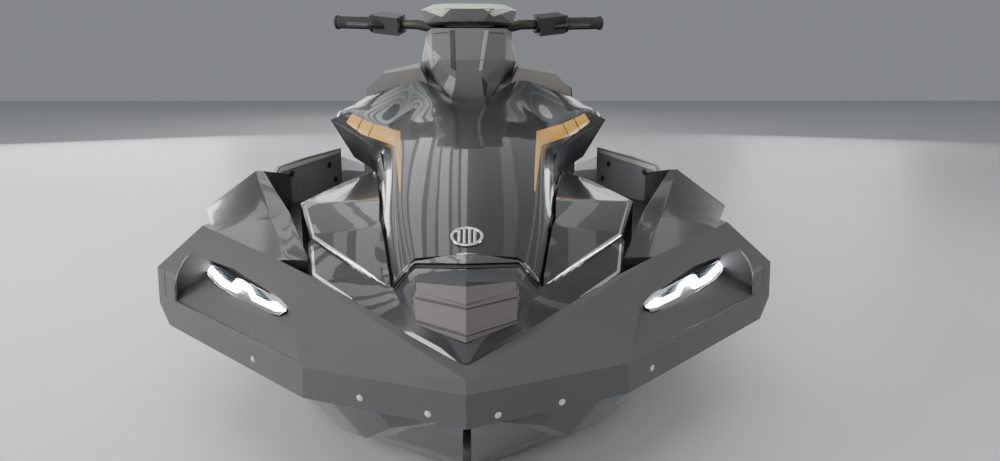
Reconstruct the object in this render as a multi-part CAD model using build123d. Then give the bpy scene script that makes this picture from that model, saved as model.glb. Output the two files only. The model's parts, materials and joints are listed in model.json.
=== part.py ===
from build123d import *
import math
import os

# A three-seat personal watercraft with a deep-V hull and a water-jet drive.
# Millimetres. +Z is up, +X is the port side and the bow points to -Y.
# The origin lies on the floating waterline, at mid-length on the centreline.
# A station is a distance behind the tip of the bow.

# Overall
LENGTH = 3580.0
FLAT = 1e-3             # a facet whose corners depart less than this from a plane is one face
HALF_LENGTH = LENGTH / 2
JOIN_GAP = 1.0          # seam between two fixed panels
MOVING_GAP = 6.0        # seam round a panel that moves
PANEL = 14.0            # wall of a moulded cover

# Hull sections: station, keel height, chine half width, chine height, bond line half width, bond line height
HULL_SECTIONS = (
    (68, 168, 6, 174, 10, 186),
    (120, 118, 84, 140, 150, 186),
    (190, 42, 134, 88, 244, 186),
    (300, -48, 196, 48, 352, 186),
    (500, -140, 296, 12, 500, 182),
    (900, -228, 400, -32, 522, 165),
    (1500, -280, 438, -88, 540, 140),
    (2300, -285, 448, -104, 540, 112),
    (3330, -285, 436, -108, 520, 80),
)
CHINE_FLAT = 30.0       # flat ledge outside the chine
TRANSOM = HULL_SECTIONS[-1][0]
STRAKE_WIDTH = 36.0
STRAKE_LINES = (0.34, 0.66)     # share of the bottom's half width
STRAKE_FROM = 860.0             # the strakes start behind this station

# Deck sections: station, side half width, side height, top half width, top height, crown height
DECK_SECTIONS = (
    (78, 12, 196, 6, 204, 208),
    (190, 240, 206, 120, 244, 250),
    (300, 362, 226, 200, 276, 282),
    (500, 470, 250, 330, 318, 322),
    (900, 560, 262, 452, 362, 366),
    (1300, 582, 255, 478, 372, 376),
    (1700, 582, 235, 480, 352, 350),
    (2300, 575, 200, 478, 276, 266),
    (3000, 560, 160, 474, 212, 200),
    (3330, 545, 140, 462, 186, 182),
    (3545, 500, 128, 440, 164, 162),
)

# Footwells: station, inner half width, outer half width, floor height, width gained at the top
FOOTWELL_SECTIONS = (
    (1010, 262, 396, 340, 20),
    (1190, 222, 416, 176, 34),
    (1700, 214, 420, 146, 36),
    (2300, 214, 424, 126, 30),
    (3040, 210, 428, 104, 24),
    (3620, 210, 428, 140, 20),
)
FOOTWELL_TOP = 640.0
MAT_THICKNESS = 8.0
PLATFORM_FROM = 2962.0          # the seat's pedestal ends here
# Space over the stern platform: station, half width of its floor
PLATFORM_SECTIONS = (
    (PLATFORM_FROM, 440),
    (3040, 440),
    (3620, 420),
)
PLATFORM_SPREAD = 60.0          # width gained at the top
PLATFORM_MAT = (3046.0, 3525.0, 196.0)

# Seat pedestal: station, base half width, top half width, top height
PEDESTAL_SECTIONS = (
    (1240, 204, 176, 400),
    (1640, 204, 160, 372),
    (2150, 204, 150, 372),
    (2350, 204, 158, 430),
    (2960, 196, 150, 430),
)

# Bumper: plan point of the crease, plan direction inwards, then (inset, height) of brow and top
BUMPER_BOTTOM = 188.0
BUMPER_CREASE = 244.0
BUMPER_SECTIONS = (
    # crease x, crease station, inward x, inward station, brow inset, brow height, top inset, top height
    (0, 0, 0, 1, 30, 253, 62, 262),
    (241, 112, 78, 210, 119, 300, 224, 351),
    (597.5, 468, -77, 45, 2, 307, 89, 379),
    (592, 880, -1, 0, 2, 286, 62, 352),
)
BUMPER_TUCK = 14.0      # the lower edge lies inside the crease
BUMPER_DEPTH = 130.0    # how far the bumper reaches inwards, before the deck is cut away

# Headlight pockets in the bumper
# each end: share of the facet at no inset, share gained per millimetre inwards,
# then inset and height of the crease, inset and height of the lens's foot, height of the brow
POCKET_INNER = (0.018, 0.00392, 3, 247, 46, 286, 302)
POCKET_OUTER = (0.94, -0.00110, 8, 254, 92, 304, 336)
LAMP_ENDS = (0.225, 0.815)      # share of the facet
LAMP_DEPTH = 8.0

# Chin: station, centre height, then half width and height of keystone, edge and lower edge
CHIN_SECTIONS = (
    (62, 262, 3, 262, 5, 261, 8, 259),
    (90, 286, 20, 283, 36, 277, 44, 266),
    (130, 322, 60, 308, 84, 290, 101, 275),
    (170, 352, 78, 336, 100, 318, 158, 284),
    (220, 368, 95, 352, 118, 331, 217, 304),
    (270, 376, 100, 362, 162, 343, 255, 328),
    (380, 420, 140, 396, 280, 376, 286, 370),
)
KEYSTONE_PLAN = ((118, 220), (85, 260))    # half width and station of the hatch's front edge
KEYSTONE_SPREAD = 60.0      # the cut in front of that edge widens by this much forwards
KEYSTONE_LOW, KEYSTONE_HIGH = 150.0, 700.0      # heights between which that cut runs

# Cheeks beside the hatch: station, inner half width and height, outer half width and height
CHEEK_SECTIONS = (
    (224, 116, 333, 122, 332),
    (384, 148, 398, 283, 383),
    (520, 166, 428, 329, 421),
    (720, 200, 448, 281, 435),
    (790, 214, 452, 240, 446),
)

# Hatch: station, centre height, then half width and height of valley, panel edge, pillar, step, ear ridge,
# ear tip and foot of the flank
HATCH_SECTIONS = (
    (222, 357, 40, 355, 80, 352, 94, 349, 100, 347, 106, 345, 110, 342, 117, 331),
    (420, 440, 50, 438, 98, 434, 128, 431, 136, 428, 142, 425, 148, 420, 158, 405),
    (640, 513, 60, 511, 120, 505, 148, 502, 160, 498, 168, 488, 178, 470, 190, 432),
    (790, 549, 66, 546, 136, 540, 164, 538, 178, 536, 190, 528, 206, 508, 214, 450),
    (900, 575, 68, 573, 146, 568, 174, 563, 186, 562, 292, 594, 338, 575, 284, 474),
    (990, 597, 62, 614, 112, 612, 162, 588, 200, 606, 296, 606, 346, 574, 300, 486),
    (1072, 604, 54, 611, 112, 661, 155, 662, 192, 648, 292, 614, 322, 592, 304, 496),
)
HATCH_CORE_FOOT = 300.0     # the filled form that trims the hinge lugs reaches down to here
HATCH_CORE_TAIL = 40.0      # and this far behind the hatch
HATCH_PIVOT, HATCH_PIVOT_HEIGHT = 1074.0, 624.0
HINGE_PLACE = 133.0     # half width of a hinge's middle
HINGE_EYE = 12.0
HINGE_PIN = 6.0
HINGE_LEAF = 12.0
HINGE_PLATE = 8.0

# Vent pad: a keystone with cross ribs, on the chin
PAD_CORNERS = ((0, 288), (76, 300), (96, 341), (77, 354), (0, 364))
PAD_RAKE = 40.0         # top edge lies this much behind the lower edge
PAD_SWEEP = 42.0        # side corners lie this much behind the middle
PAD_STATION = 92.0
PAD_PROUD = 9.0
PAD_BODY = 70.0
# Raised ribs of the pad: height at the centre, half width
PAD_RIBS = ((295, 70), (314, 84), (333, 78))
RIB_RISE = 12.0         # the ribs' ends lie this much above their middle
RIB_WIDTH = 13.0
RIB_PROUD = 4.0
RIB_TAPER = 0.2     # share of that at a rib's upper edge

# Round emblem on the hatch
EMBLEM_STATION = 310.0
EMBLEM_RADIUS = 28.5
EMBLEM_PROUD = 4.0
EMBLEM_RIM = 5.0
EMBLEM_DEPTH = 1.5

# Side fairings on the gunwale: station, inner half width and height, ridge, outer, foot
FAIRING_SECTIONS = (
    (330, 276, 352, 318, 352, 330, 350, 316, 322),
    (480, 342, 410, 377, 396, 488, 372, 472, 330),
    (650, 436, 470, 452, 470, 562, 390, 544, 335),
    (1000, 442, 418, 470, 424, 574, 370, 560, 320),
    (1700, 448, 392, 474, 404, 576, 318, 562, 268),
    (2300, 452, 300, 470, 310, 568, 248, 556, 214),
)

# Splash guard: ends in plan as half width and station, then share along it and height of each corner
GUARD_PLAN = ((465, 850), (345, 1060))
GUARD_OUTLINE = ((0, 362), (0, 438), (0.05, 456), (0.42, 470), (1, 484), (1, 362))
GUARD_WALL = 8.0

# Cowl round the steering: station, centre height,
# then half width and height of saddle, crown, side, edge, base
COWL_SECTIONS = (
    (1116, 640, 112, 652, 133, 696, 236, 679, 277, 640, 290, 540),
    (1230, 672, 118, 684, 140, 712, 238, 690, 278, 640, 298, 530),
    (1400, 690, 104, 694, 132, 700, 214, 674, 248, 616, 262, 500),
    (1620, 592, 84, 592, 112, 590, 178, 560, 192, 506, 198, 440),
)
COWL_BASE = 400.0

# Storage bin under the hatch
BIN_FROM, BIN_TO = 460.0, 1040.0
BIN_HALF_WIDTH = 118.0
BIN_FLOOR = 130.0
BIN_RIM = 385.0
BIN_WALL = 6.0

# Steering: shroud sections by height: nose half width and station, cheek, rear
SHROUD_SECTIONS = (
    (604, 48, 1096, 52, 1104, 56, 1190, 60, 1262),
    (660, 36, 1080, 84, 1104, 112, 1196, 96, 1280),
    (715, 36, 1068, 96, 1088, 133, 1190, 106, 1300),
    (796, 41, 1070, 100, 1086, 118, 1190, 106, 1318),
)
BEARING_TOP = 700.0             # below this the shroud's bore carries the column
COLUMN_RAKE = 20.0      # the steering column leans back from the vertical
COLUMN_STATION, COLUMN_HEIGHT = 1268.0, 800.0
COLUMN_RADIUS = 26.0
COLUMN_FOOT = 640.0
BEARING_GAP = 0.05
BAR_RADIUS = 14.0
BAR_HALF_SPAN = 398.0
BAR_SWEEP = 120.0       # the bar's ends lie behind its middle
BAR_RISE = 22.0
GRIP_RADIUS = 17.5
GRIP_LENGTH = 118.0
SWITCH_SIZE = (84.0, 50.0, 52.0)

# Pad over the bar, by height: half width and station of nose, front corner, side, rear
PAD_SECTIONS = (
    (818, 40, 1130, 122, 1180, 114, 1300, 84, 1328),
    (850, 61, 1116, 131, 1178, 118, 1304, 86, 1334),
    (868, 64, 1190, 98, 1212, 96, 1290, 78, 1318),
)

# Glove box in front of the seat
GLOVE_FROM, GLOVE_TO = 1440.0, 1600.0
GLOVE_HALF_WIDTH = 84.0
GLOVE_DEPTH = 120.0
GLOVE_LID = 12.0
GLOVE_PIVOT = GLOVE_FROM - MOVING_GAP / 2
GLOVE_PIVOT_RISE = 2.0          # the hinge's pin lies this much above the lid's front edge
GLOVE_KNUCKLES = ((15, 21), (22, 38), (39, 45))     # along X: fixed, moving, fixed
KNUCKLE_RADIUS = 5.0
KNUCKLE_PIN = 2.5
KNUCKLE_LEAF = 14.0

# Display behind the handlebar: side outline as (station, height above the cowl's middle), half width
DISPLAY_OUTLINE = ((1326, -20), (1334, 44), (1410, 22), (1414, -20))
DISPLAY_HALF_WIDTH = 76.0

# Seats: station, base half width, side half width and height, top half width and height
FRONT_SEAT_SECTIONS = (
    (1644, 126, 150, 430, 96, 470),
    (1760, 150, 176, 452, 120, 500),
    (2060, 142, 186, 458, 130, 508),
    (2150, 144, 185, 482, 134, 538),
    (2320, 148, 172, 540, 130, 592),
)
REAR_SEAT_SECTIONS = (
    (2352, 146, 170, 530, 128, 572),
    (2440, 146, 182, 540, 134, 580),
    (2820, 144, 180, 544, 134, 586),
    (2960, 138, 160, 530, 118, 566),
)
SEAT_LIFT = 0.3

# Engine and the bay round it
ENGINE_FROM = 1750.0
ENGINE_LENGTH = 600.0
ENGINE_WIDTH = 250.0
ENGINE_HEIGHT = 440.0
ENGINE_TO = ENGINE_FROM + ENGINE_LENGTH
BAY_END_ROOM = 50.0
BAY_SIDE_ROOM = 15.0
BAY_TOP_ROOM = 85.0
BAY_FLOOR = -195.0
BAY_FROM = ENGINE_FROM - BAY_END_ROOM
BAY_TO = ENGINE_TO + BAY_END_ROOM
BAY_HALF_WIDTH = ENGINE_WIDTH / 2 + BAY_SIDE_ROOM
BAY_ROOF = BAY_FLOOR + ENGINE_HEIGHT + BAY_TOP_ROOM

# Water-jet drive
JET_HEIGHT = -158.0
IMPELLER_RADIUS = 78.0
TIP_GAP = 5.0
JET_WALL = 9.0
FLANGE_PROUD = 20.0
TUNNEL_FROM = 2930.0
TUNNEL_HALF_WIDTH = 126.0
TUNNEL_ROOF = -48.0
INTAKE_FROM, INTAKE_TO = 2360.0, 2700.0
INTAKE_HALF_WIDTH = 70.0
SHAFT_RADIUS = 14.0
SHAFT_SOCKET = 16.0     # the shaft reaches this far into the engine
SHAFT_FROM, SHAFT_TO = ENGINE_TO - SHAFT_SOCKET, 3124.0
SHAFT_WAY = 20.0
HUB_RADIUS = 27.0
BLADES = 4
BLADE_FROM, BLADE_TO = 2974.0, 3058.0
BLADE_TWIST = 84.0
BLADE_THICKNESS = 4.0
VANES = 7
VANE_FROM, HOUSING_TO = 3084.0, 3190.0
VANE_THICKNESS = 5.0
LIP_FROM, LIP_TO = 3300.0, 3358.0
NOZZLE_RADIUS = 44.0
OUTLET_WALL = 8.0
STEER_PIVOT = 3350.0
STEER_BORE = 66.0
STEER_RING_TO = 3380.0
STEER_NOZZLE_TO = 3445.0
NOZZLE_WALL = 7.0
PIVOT_PIN = 8.0
BUCKET_PIVOT = 3300.0
BUCKET_RADIUS = 182.0
BUCKET_WALL = 9.0
BUCKET_HALF_WIDTH = 112.0
BUCKET_FROM_ANGLE, BUCKET_TO_ANGLE = 22.0, 72.0
BUCKET_BOSS = 24.0
RIDE_PLATE = 12.0
RIDE_PLATE_TO = 3390.0
GRATE_BARS = 4
GRATE_BAR = 9.0
SEAM_TURN = 33.0        # keeps the seams of turned pieces clear of the pins

# Stern fittings
HANDLE_HALF_WIDTH = 118.0
HANDLE_RADIUS = 13.0
STEP_HALF_WIDTH = 150.0
STEP_BAR = 11.0
STEP_PIVOT, STEP_PIVOT_HEIGHT = 3440.0, 18.0
STEP_BACK = 3568.0
STEP_TOP = 150.0
STEP_PIN = 6.0
BRACKET_PLATE = 6.0
BRACKET_RADIUS = 18.0
EYE_PLATE = 12.0
EYE_HOLE = 11.0
EYE_RADIUS = 24.0
BOW_EYE = (64.0, 128.0)         # station, height
STERN_EYE = (3352.0, 300.0, 20.0)       # station, half width, height
RAIL_HEIGHT = 44.0
RAIL_PROUD = 14.0
RAIL_ROOT = (-6.0, 2.0)         # inner foot, from the bond line
RAIL_FOOT = (-4.0, 12.0)        # outer foot: from the rail's face, above the bond line
RAIL_BACK = (-16.0, 14.0)       # inner top: from the deck's edge, above the rail
RAIL_STATIONS = (884.0, 1500.0, 2300.0, 3000.0, TRANSOM, 3545.0)
BOW_EYE_ROOT = 150.0        # station at which the eye's plate ends in the hull
EYE_INSET = 10.0        # how far the stern eyes' plates reach into the transom
# Sponson: station, how far it stands out; its last section lies a length behind the first
SPONSON_SECTIONS = (
    (2540, 4),
    (2700, 44),
    (3040, 50),
)
SPONSON_LENGTH = 620.0
SPONSON_END_PROUD = 30.0
# Sponson's outline from the chine: inner foot, outer foot, outer top, inner top; the outer ones stand out further
SPONSON_PROFILE = ((-30.0, 20.0), (0.0, 24.0), (6.0, 44.0), (-10.0, 96.0))


def at(station):
    """The Y place of a station."""
    return station - HALF_LENGTH


def blend(table, station, column):
    """A table's column at any station, on the straight line between its rows."""
    rows = [row for row in table]
    for low, high in zip(rows, rows[1:]):
        if station <= high[0] or high is rows[-1]:
            share = (station - low[0]) / (high[0] - low[0])
            return low[column] + share * (high[column] - low[column])


def both_sides(half):
    """A closed outline from its port half, which starts and ends on the centreline."""
    inner = [(-x, z) for x, z in reversed(half) if x > 1e-6]
    return list(half) + inner


def ruled(wires):
    """A solid of ruled faces through outlines, with its faces turned outwards."""
    solid = Solid.make_loft(wires, ruled=True)
    return solid if solid.volume > 0 else Solid.make_loft(wires[::-1], ruled=True)


def cross_loft(sections):
    """A solid through outlines that stand across the craft: (station, [(x, z), ...])."""
    return ruled(
        [
            Wire.make_polygon([Vector(x, at(station), z) for x, z in outline], close=True)
            for station, outline in sections
        ]
    )


def flat_face(*points):
    """A flat face with these corners."""
    return Face(Wire.make_polygon(points, close=True))


def space_loft(outlines):
    """A solid of flat facets through closed outlines of points in space."""
    faces = [flat_face(*outlines[0]), flat_face(*outlines[-1])]
    for near, far in zip(outlines, outlines[1:]):
        middle = sum(near + far, Vector(0, 0, 0)) * (0.5 / len(near))
        for index in range(len(near)):
            a, b, c, d = near[index - 1], near[index], far[index], far[index - 1]
            across_way = (b - a).cross(d - a).normalized()
            if abs(across_way.dot(c - a)) < FLAT:
                faces.append(flat_face(a, b, c, d))
            elif (a + c - b - d).dot((a + b + c + d) * 0.25 - middle) > 0:
                faces += [flat_face(a, b, c), flat_face(a, c, d)]
            else:
                faces += [flat_face(a, b, d), flat_face(b, c, d)]
    return Solid(Shell(faces))


def upright_prism(outline, low, high):
    """A solid over a plan outline of (x, station) from one height to another."""
    face = Face(Wire.make_polygon([Vector(x, at(station), low) for x, station in outline], close=True))
    return Solid.extrude(face, Vector(0, 0, high - low))


def side_prism(outline, half_width):
    """A solid over a side outline of (station, z), centred across the craft."""
    face = Face(
        Wire.make_polygon([Vector(-half_width, at(station), z) for station, z in outline], close=True)
    )
    return Solid.extrude(face, Vector(2 * half_width, 0, 0))


def block(x_low, x_high, from_station, to_station, low, high):
    """A box by its limits."""
    return upright_prism(
        ((x_low, from_station), (x_high, from_station), (x_high, to_station), (x_low, to_station)), low, high
    )


def rod(start, end, radius):
    """A round bar between two points."""
    line = Vector(end) - Vector(start)
    return Solid.make_cylinder(radius, line.length, Plane(origin=start, z_dir=line))


def tube_path(points, radius, bends):
    """A round bar along straight runs with arcs at the corners."""
    path = FilletPolyline(*points, radius=bends)
    start = path @ 0
    section = Plane(origin=start, z_dir=path % 0) * Circle(radius)
    return sweep(section, path=path)


def across(shape):
    """The starboard twin of a port piece."""
    return mirror(shape, about=Plane.YZ)


def joined(*shapes):
    """One shape from several that touch or overlap."""
    whole = shapes[0]
    for shape in shapes[1:]:
        whole = whole + shape
    return whole


def bond_outline(station):
    """Half width and height of the line where hull and deck are joined."""
    return blend(HULL_SECTIONS, station, 4), blend(HULL_SECTIONS, station, 5)


def make_hull():
    """Deep-V bottom with chine flats, strakes, intake duct and pump tunnel."""
    sections = [
        (
            station,
            both_sides(
                ((0, keel), (chine_x, chine_z), (chine_x + CHINE_FLAT, chine_z), (bond_x, bond_z), (0, bond_z))
            ),
        )
        for station, keel, chine_x, chine_z, bond_x, bond_z in HULL_SECTIONS
    ]
    hull = cross_loft(sections)
    for share in STRAKE_LINES:
        rows = []
        for station, keel, chine_x, chine_z, _, _ in [row for row in HULL_SECTIONS if row[0] > STRAKE_FROM]:
            x = chine_x * share
            slope = (chine_z - keel) / chine_x
            low = keel + slope * (x - STRAKE_WIDTH / 2)
            high = keel + slope * (x + STRAKE_WIDTH / 2)
            half = STRAKE_WIDTH / 2
            outline = ((x - half, low), (x + half, low), (x + half, high + 2))
            rows.append((station, outline))
        rows[0] = (rows[0][0] + 40, rows[0][1])
        strake = cross_loft(rows)
        hull = hull + strake + across(strake)
    return hull


def make_duct():
    """The water's way from the intake in the bottom to the pump."""
    bore = IMPELLER_RADIUS + TIP_GAP
    low = HULL_SECTIONS[-1][1] - 20
    outline = (
        (INTAKE_FROM, low),
        (INTAKE_FROM + 30, HULL_SECTIONS[-1][1] + 30),
        (TUNNEL_FROM - 150, JET_HEIGHT + bore - 20),
        (TUNNEL_FROM - 60, JET_HEIGHT + bore - 20),
        (TUNNEL_FROM - 60, JET_HEIGHT - bore + 30),
        (INTAKE_TO + 60, JET_HEIGHT - bore + 30),
        (INTAKE_TO, low),
    )
    ramp = side_prism(outline, INTAKE_HALF_WIDTH)
    mouth = rod((0, at(TUNNEL_FROM - 150), JET_HEIGHT), (0, at(TUNNEL_FROM + 5), JET_HEIGHT), bore)
    return joined(ramp, mouth)


def make_tunnel():
    """The open space at the stern that holds the pump."""
    low = HULL_SECTIONS[-1][1] - 20
    return block(-TUNNEL_HALF_WIDTH, TUNNEL_HALF_WIDTH, TUNNEL_FROM, TRANSOM + 20, low, TUNNEL_ROOF)


def deadrise():
    """Rise of the stern's bottom for each millimetre outwards."""
    _, keel, chine_x, chine_z, _, _ = HULL_SECTIONS[-1]
    return (chine_z - keel) / chine_x


def vee_plate(half_width, thickness, from_station, to_station, lift=0.0):
    """A plate that follows the stern's V bottom."""
    keel = HULL_SECTIONS[-1][1] + lift
    rise = deadrise() * half_width
    half = ((0, keel), (half_width, keel + rise), (half_width, keel + rise + thickness))
    outline = both_sides(half)
    outline.insert(len(half), (0, keel + thickness))
    return cross_loft([(from_station, outline), (to_station, outline)])


def make_platform_space():
    """The open space over the stern platform."""
    rows = []
    for station, half_width in PLATFORM_SECTIONS:
        floor = blend(FOOTWELL_SECTIONS, station, 3)
        side = (half_width + PLATFORM_SPREAD, FOOTWELL_TOP)
        rows.append((station, both_sides(((0, floor), (half_width, floor), side, (0, FOOTWELL_TOP)))))
    return cross_loft(rows)


def make_bay():
    """The closed engine bay under the seat."""
    return block(-BAY_HALF_WIDTH, BAY_HALF_WIDTH, BAY_FROM, BAY_TO, BAY_FLOOR, BAY_ROOF)


def make_deck():
    """Upper moulding: gunwales, footwells, pedestal and stern platform."""
    sections = []
    for station, side_x, side_z, top_x, top_z, crown in DECK_SECTIONS:
        bond_x, bond_z = bond_outline(station)
        half = ((0, bond_z), (bond_x, bond_z), (side_x, side_z), (top_x, top_z), (0, crown))
        sections.append((station, both_sides(half)))
    return cross_loft(sections)


def make_footwell(inset=0.0, floor_only=False):
    """The space of the port footwell, or a sheet on its floor."""
    rows = []
    for station, inner, outer, floor, spread in FOOTWELL_SECTIONS:
        top = floor + MAT_THICKNESS if floor_only else FOOTWELL_TOP
        gain = spread * (MAT_THICKNESS / 250 if floor_only else 1.6)
        rows.append(
            (
                station,
                ((inner + inset, floor), (outer - inset, floor), (outer - inset + gain, top), (inner + inset, top)),
            )
        )
    if floor_only:
        rows = rows[1:-1]
    return cross_loft(rows)


def make_pedestal():
    """The hump that carries the seat."""
    floor = min(row[3] for row in FOOTWELL_SECTIONS) - 20
    rows = [
        (station, both_sides(((0, floor), (base, floor), (top, height), (0, height))))
        for station, base, top, height in PEDESTAL_SECTIONS
    ]
    return cross_loft(rows)


def bumper_outline(row, side):
    """One upright section of the bumper, in space."""
    x, station, in_x, in_station, brow_inset, brow, top_inset, top = row
    length = math.hypot(in_x, in_station)
    across_x, along = in_x / length, in_station / length

    def place(inset, height):
        return Vector(side * (x + across_x * inset), at(station + along * inset), height)

    return [
        place(BUMPER_DEPTH, BUMPER_BOTTOM),
        place(BUMPER_TUCK, BUMPER_BOTTOM),
        place(0, BUMPER_CREASE - (station / LENGTH) * 60),
        place(brow_inset, brow),
        place(top_inset, top),
        place(max(BUMPER_DEPTH, top_inset + 30), top - 6),
    ]


def make_bumper_half(side):
    """Half of the bow bumper, as three facets."""
    outlines = [bumper_outline(row, side) for row in BUMPER_SECTIONS]
    return space_loft(outlines)


def facet_point(share, inset, height, side=1):
    """A point on the bumper's side facet: share along it, inset from it."""
    (x0, s0), (x1, s1) = [(row[0], row[1]) for row in BUMPER_SECTIONS[1:3]]
    length = math.hypot(x1 - x0, s1 - s0)
    ux, us = (x1 - x0) / length, (s1 - s0) / length
    x = x0 + ux * length * share - us * inset
    station = s0 + us * length * share + ux * inset
    return Vector(side * x, at(station), height)


def make_pocket(side):
    """The recess under the brow that holds a headlight."""
    reach = -70
    ends = []
    for share, slant, crease_in, crease, foot_in, foot, brow in (POCKET_INNER, POCKET_OUTER):
        profile = ((reach, crease), (crease_in, crease), (foot_in, foot), (foot_in, brow), (reach, brow))
        ends.append([facet_point(share + slant * inset, inset, height, side) for inset, height in profile])
    return space_loft(ends)


def make_headlight(side):
    """A lamp unit at the back of its pocket."""
    in_share, in_slant, _, _, in_inset, in_foot, in_brow = POCKET_INNER
    out_share, out_slant, _, _, out_inset, out_foot, out_brow = POCKET_OUTER
    near, far = in_share + in_slant * in_inset, out_share + out_slant * out_inset
    ends = []
    for share in LAMP_ENDS:
        place = (share - near) / (far - near)
        inset = in_inset + place * (out_inset - in_inset)
        low = in_foot + place * (out_foot - in_foot) + 3
        high = in_brow + place * (out_brow - in_brow)
        profile = ((inset - LAMP_DEPTH, low), (inset, low), (inset, high), (inset - LAMP_DEPTH, high))
        ends.append([facet_point(share, along, height, side) for along, height in profile])
    return space_loft(ends)


def make_chin():
    """Gloss panel between the bumper and the hatch."""
    rows = []
    for station, centre, key_x, key_z, edge_x, edge_z, low_x, low_z in CHIN_SECTIONS:
        floor = low_z - 34
        half = ((0, floor), (low_x, floor), (low_x, low_z), (edge_x, edge_z), (key_x, key_z), (0, centre))
        rows.append((station, both_sides(half)))
    return cross_loft(rows)


def make_cheek():
    """Gloss panel beside the hatch, port side."""
    rows = []
    for station, in_x, in_z, out_x, out_z in CHEEK_SECTIONS:
        floor = out_z - 90
        rows.append((station, ((in_x, floor), (out_x, floor), (out_x, out_z), (in_x, in_z))))
    return cross_loft(rows)


def inset_line(points, wall):
    """An open outline moved inwards by a wall.

    Its first point stays on the centreline, and its last keeps its height.
    """
    moved = [(points[0][0], points[0][1] - wall)]
    for before, here, after in zip(points, points[1:], points[2:]):
        ways = []
        for start, end in ((before, here), (here, after)):
            length = math.hypot(end[0] - start[0], end[1] - start[1])
            ways.append(((end[1] - start[1]) / length, (start[0] - end[0]) / length))
        turn = 1 + ways[0][0] * ways[1][0] + ways[0][1] * ways[1][1]
        shift = [wall * (ways[0][axis] + ways[1][axis]) / max(turn, 0.6) for axis in (0, 1)]
        moved.append((here[0] + shift[0], here[1] + shift[1]))
    last, near = points[-1], moved[-1]
    moved.append((last[0] - wall, min(last[1], near[1] - 1)))
    return moved


def hatch_profile(row):
    """Port half of a hatch section, from the centreline to the flank's foot."""
    return [(0, row[1])] + list(zip(row[2::2], row[3::2]))


def make_hatch():
    """Front storage lid, an open shell."""
    rows = []
    for row in HATCH_SECTIONS:
        outer = hatch_profile(row)
        inner = inset_line(outer, PANEL)
        left = [(-x, z) for x, z in reversed(outer[1:])] + outer
        right = [(x, z) for x, z in reversed(inner)] + [(-x, z) for x, z in inner[1:]]
        rows.append((row[0], left + right))
    return cross_loft(rows)


def make_hatch_solid():
    """The hatch with its inside filled, up to the middle of its wall and down to below its hinge."""
    rows = []
    for row in HATCH_SECTIONS:
        outer = inset_line(hatch_profile(row), PANEL / 2)
        foot_x = outer[-1][0]
        rows.append((row[0], both_sides([(0, HATCH_CORE_FOOT), (foot_x, HATCH_CORE_FOOT)] + outer[::-1])))
    last, outline = rows[-1]
    return cross_loft(rows + [(last + HATCH_CORE_TAIL, outline)])


def hatch_space():
    """All that lies under the hatch's skin, with its moving gap."""
    rows = []
    for row in HATCH_SECTIONS:
        outer = hatch_profile(row)
        foot_x, foot_z = outer[-1]
        half = [(0, foot_z - 30), (foot_x + MOVING_GAP, foot_z - 30), (foot_x + MOVING_GAP, foot_z)]
        half += [(x + MOVING_GAP, z + MOVING_GAP) for x, z in reversed(outer[1:-1])]
        half.append((0, outer[0][1] + MOVING_GAP))
        rows.append((row[0], both_sides(half)))
    return cross_loft(rows)


def keystone_prism(gap):
    """The plan shape in front of the hatch's front edge."""
    (corner_x, corner_station), (top_x, top_station) = KEYSTONE_PLAN
    outline = (
        (-corner_x - KEYSTONE_SPREAD, corner_station - KEYSTONE_SPREAD + gap),
        (-corner_x, corner_station + gap),
        (-top_x, top_station + gap),
        (top_x, top_station + gap),
        (corner_x, corner_station + gap),
        (corner_x + KEYSTONE_SPREAD, corner_station - KEYSTONE_SPREAD + gap),
        (corner_x + KEYSTONE_SPREAD, 0),
        (-corner_x - KEYSTONE_SPREAD, 0),
    )
    return upright_prism(outline, KEYSTONE_LOW, KEYSTONE_HIGH)


def hinge_arm(x_low, x_high, from_station, to_station, radius):
    """An arm with a round end on the hatch's hinge axis."""
    y, z = at(HATCH_PIVOT), HATCH_PIVOT_HEIGHT
    arm = block(x_low, x_high, from_station, to_station, z - radius, z + radius)
    return arm + rod((x_low, y, z), (x_high, y, z), radius)


def make_hatch_lugs():
    """Lugs with pins on the hatch's underside."""
    y, z = at(HATCH_PIVOT), HATCH_PIVOT_HEIGHT
    lugs = []
    for side in (1, -1):
        middle = side * HINGE_PLACE
        low, high = middle - HINGE_LEAF / 2, middle + HINGE_LEAF / 2
        lug = block(low, high, HATCH_PIVOT - HINGE_EYE, HATCH_PIVOT, z, z + HATCH_PIVOT_HEIGHT)
        lug = lug + rod((low, y, z), (high, y, z), HINGE_EYE)
        reach = HINGE_PLATE + MOVING_GAP / 2
        lugs.append(lug + rod((low - reach, y, z), (high + reach, y, z), HINGE_PIN))
    return lugs


def make_hinge_plates():
    """Plates on the cowl that carry the hatch's pins."""
    y, z = at(HATCH_PIVOT), HATCH_PIVOT_HEIGHT
    plates = []
    for side in (1, -1):
        for edge in (1, -1):
            near = side * HINGE_PLACE + edge * (HINGE_LEAF / 2 + 1)
            low, high = sorted((near, near + edge * HINGE_PLATE))
            plate = hinge_arm(low, high, HATCH_PIVOT, COWL_SECTIONS[0][0] + 8, HINGE_EYE)
            plates.append(plate - rod((low - 1, y, z), (high + 1, y, z), HINGE_PIN + BEARING_GAP))
    return plates


def pad_point(x, z, proud):
    """A point on the vent pad's face, or proud of it."""
    low, high = PAD_CORNERS[0][1], PAD_CORNERS[-1][1]
    station = PAD_STATION + PAD_RAKE * (z - low) / (high - low) + PAD_SWEEP * x / PAD_CORNERS[2][0] - proud
    return Vector(x, at(station), z)


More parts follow.
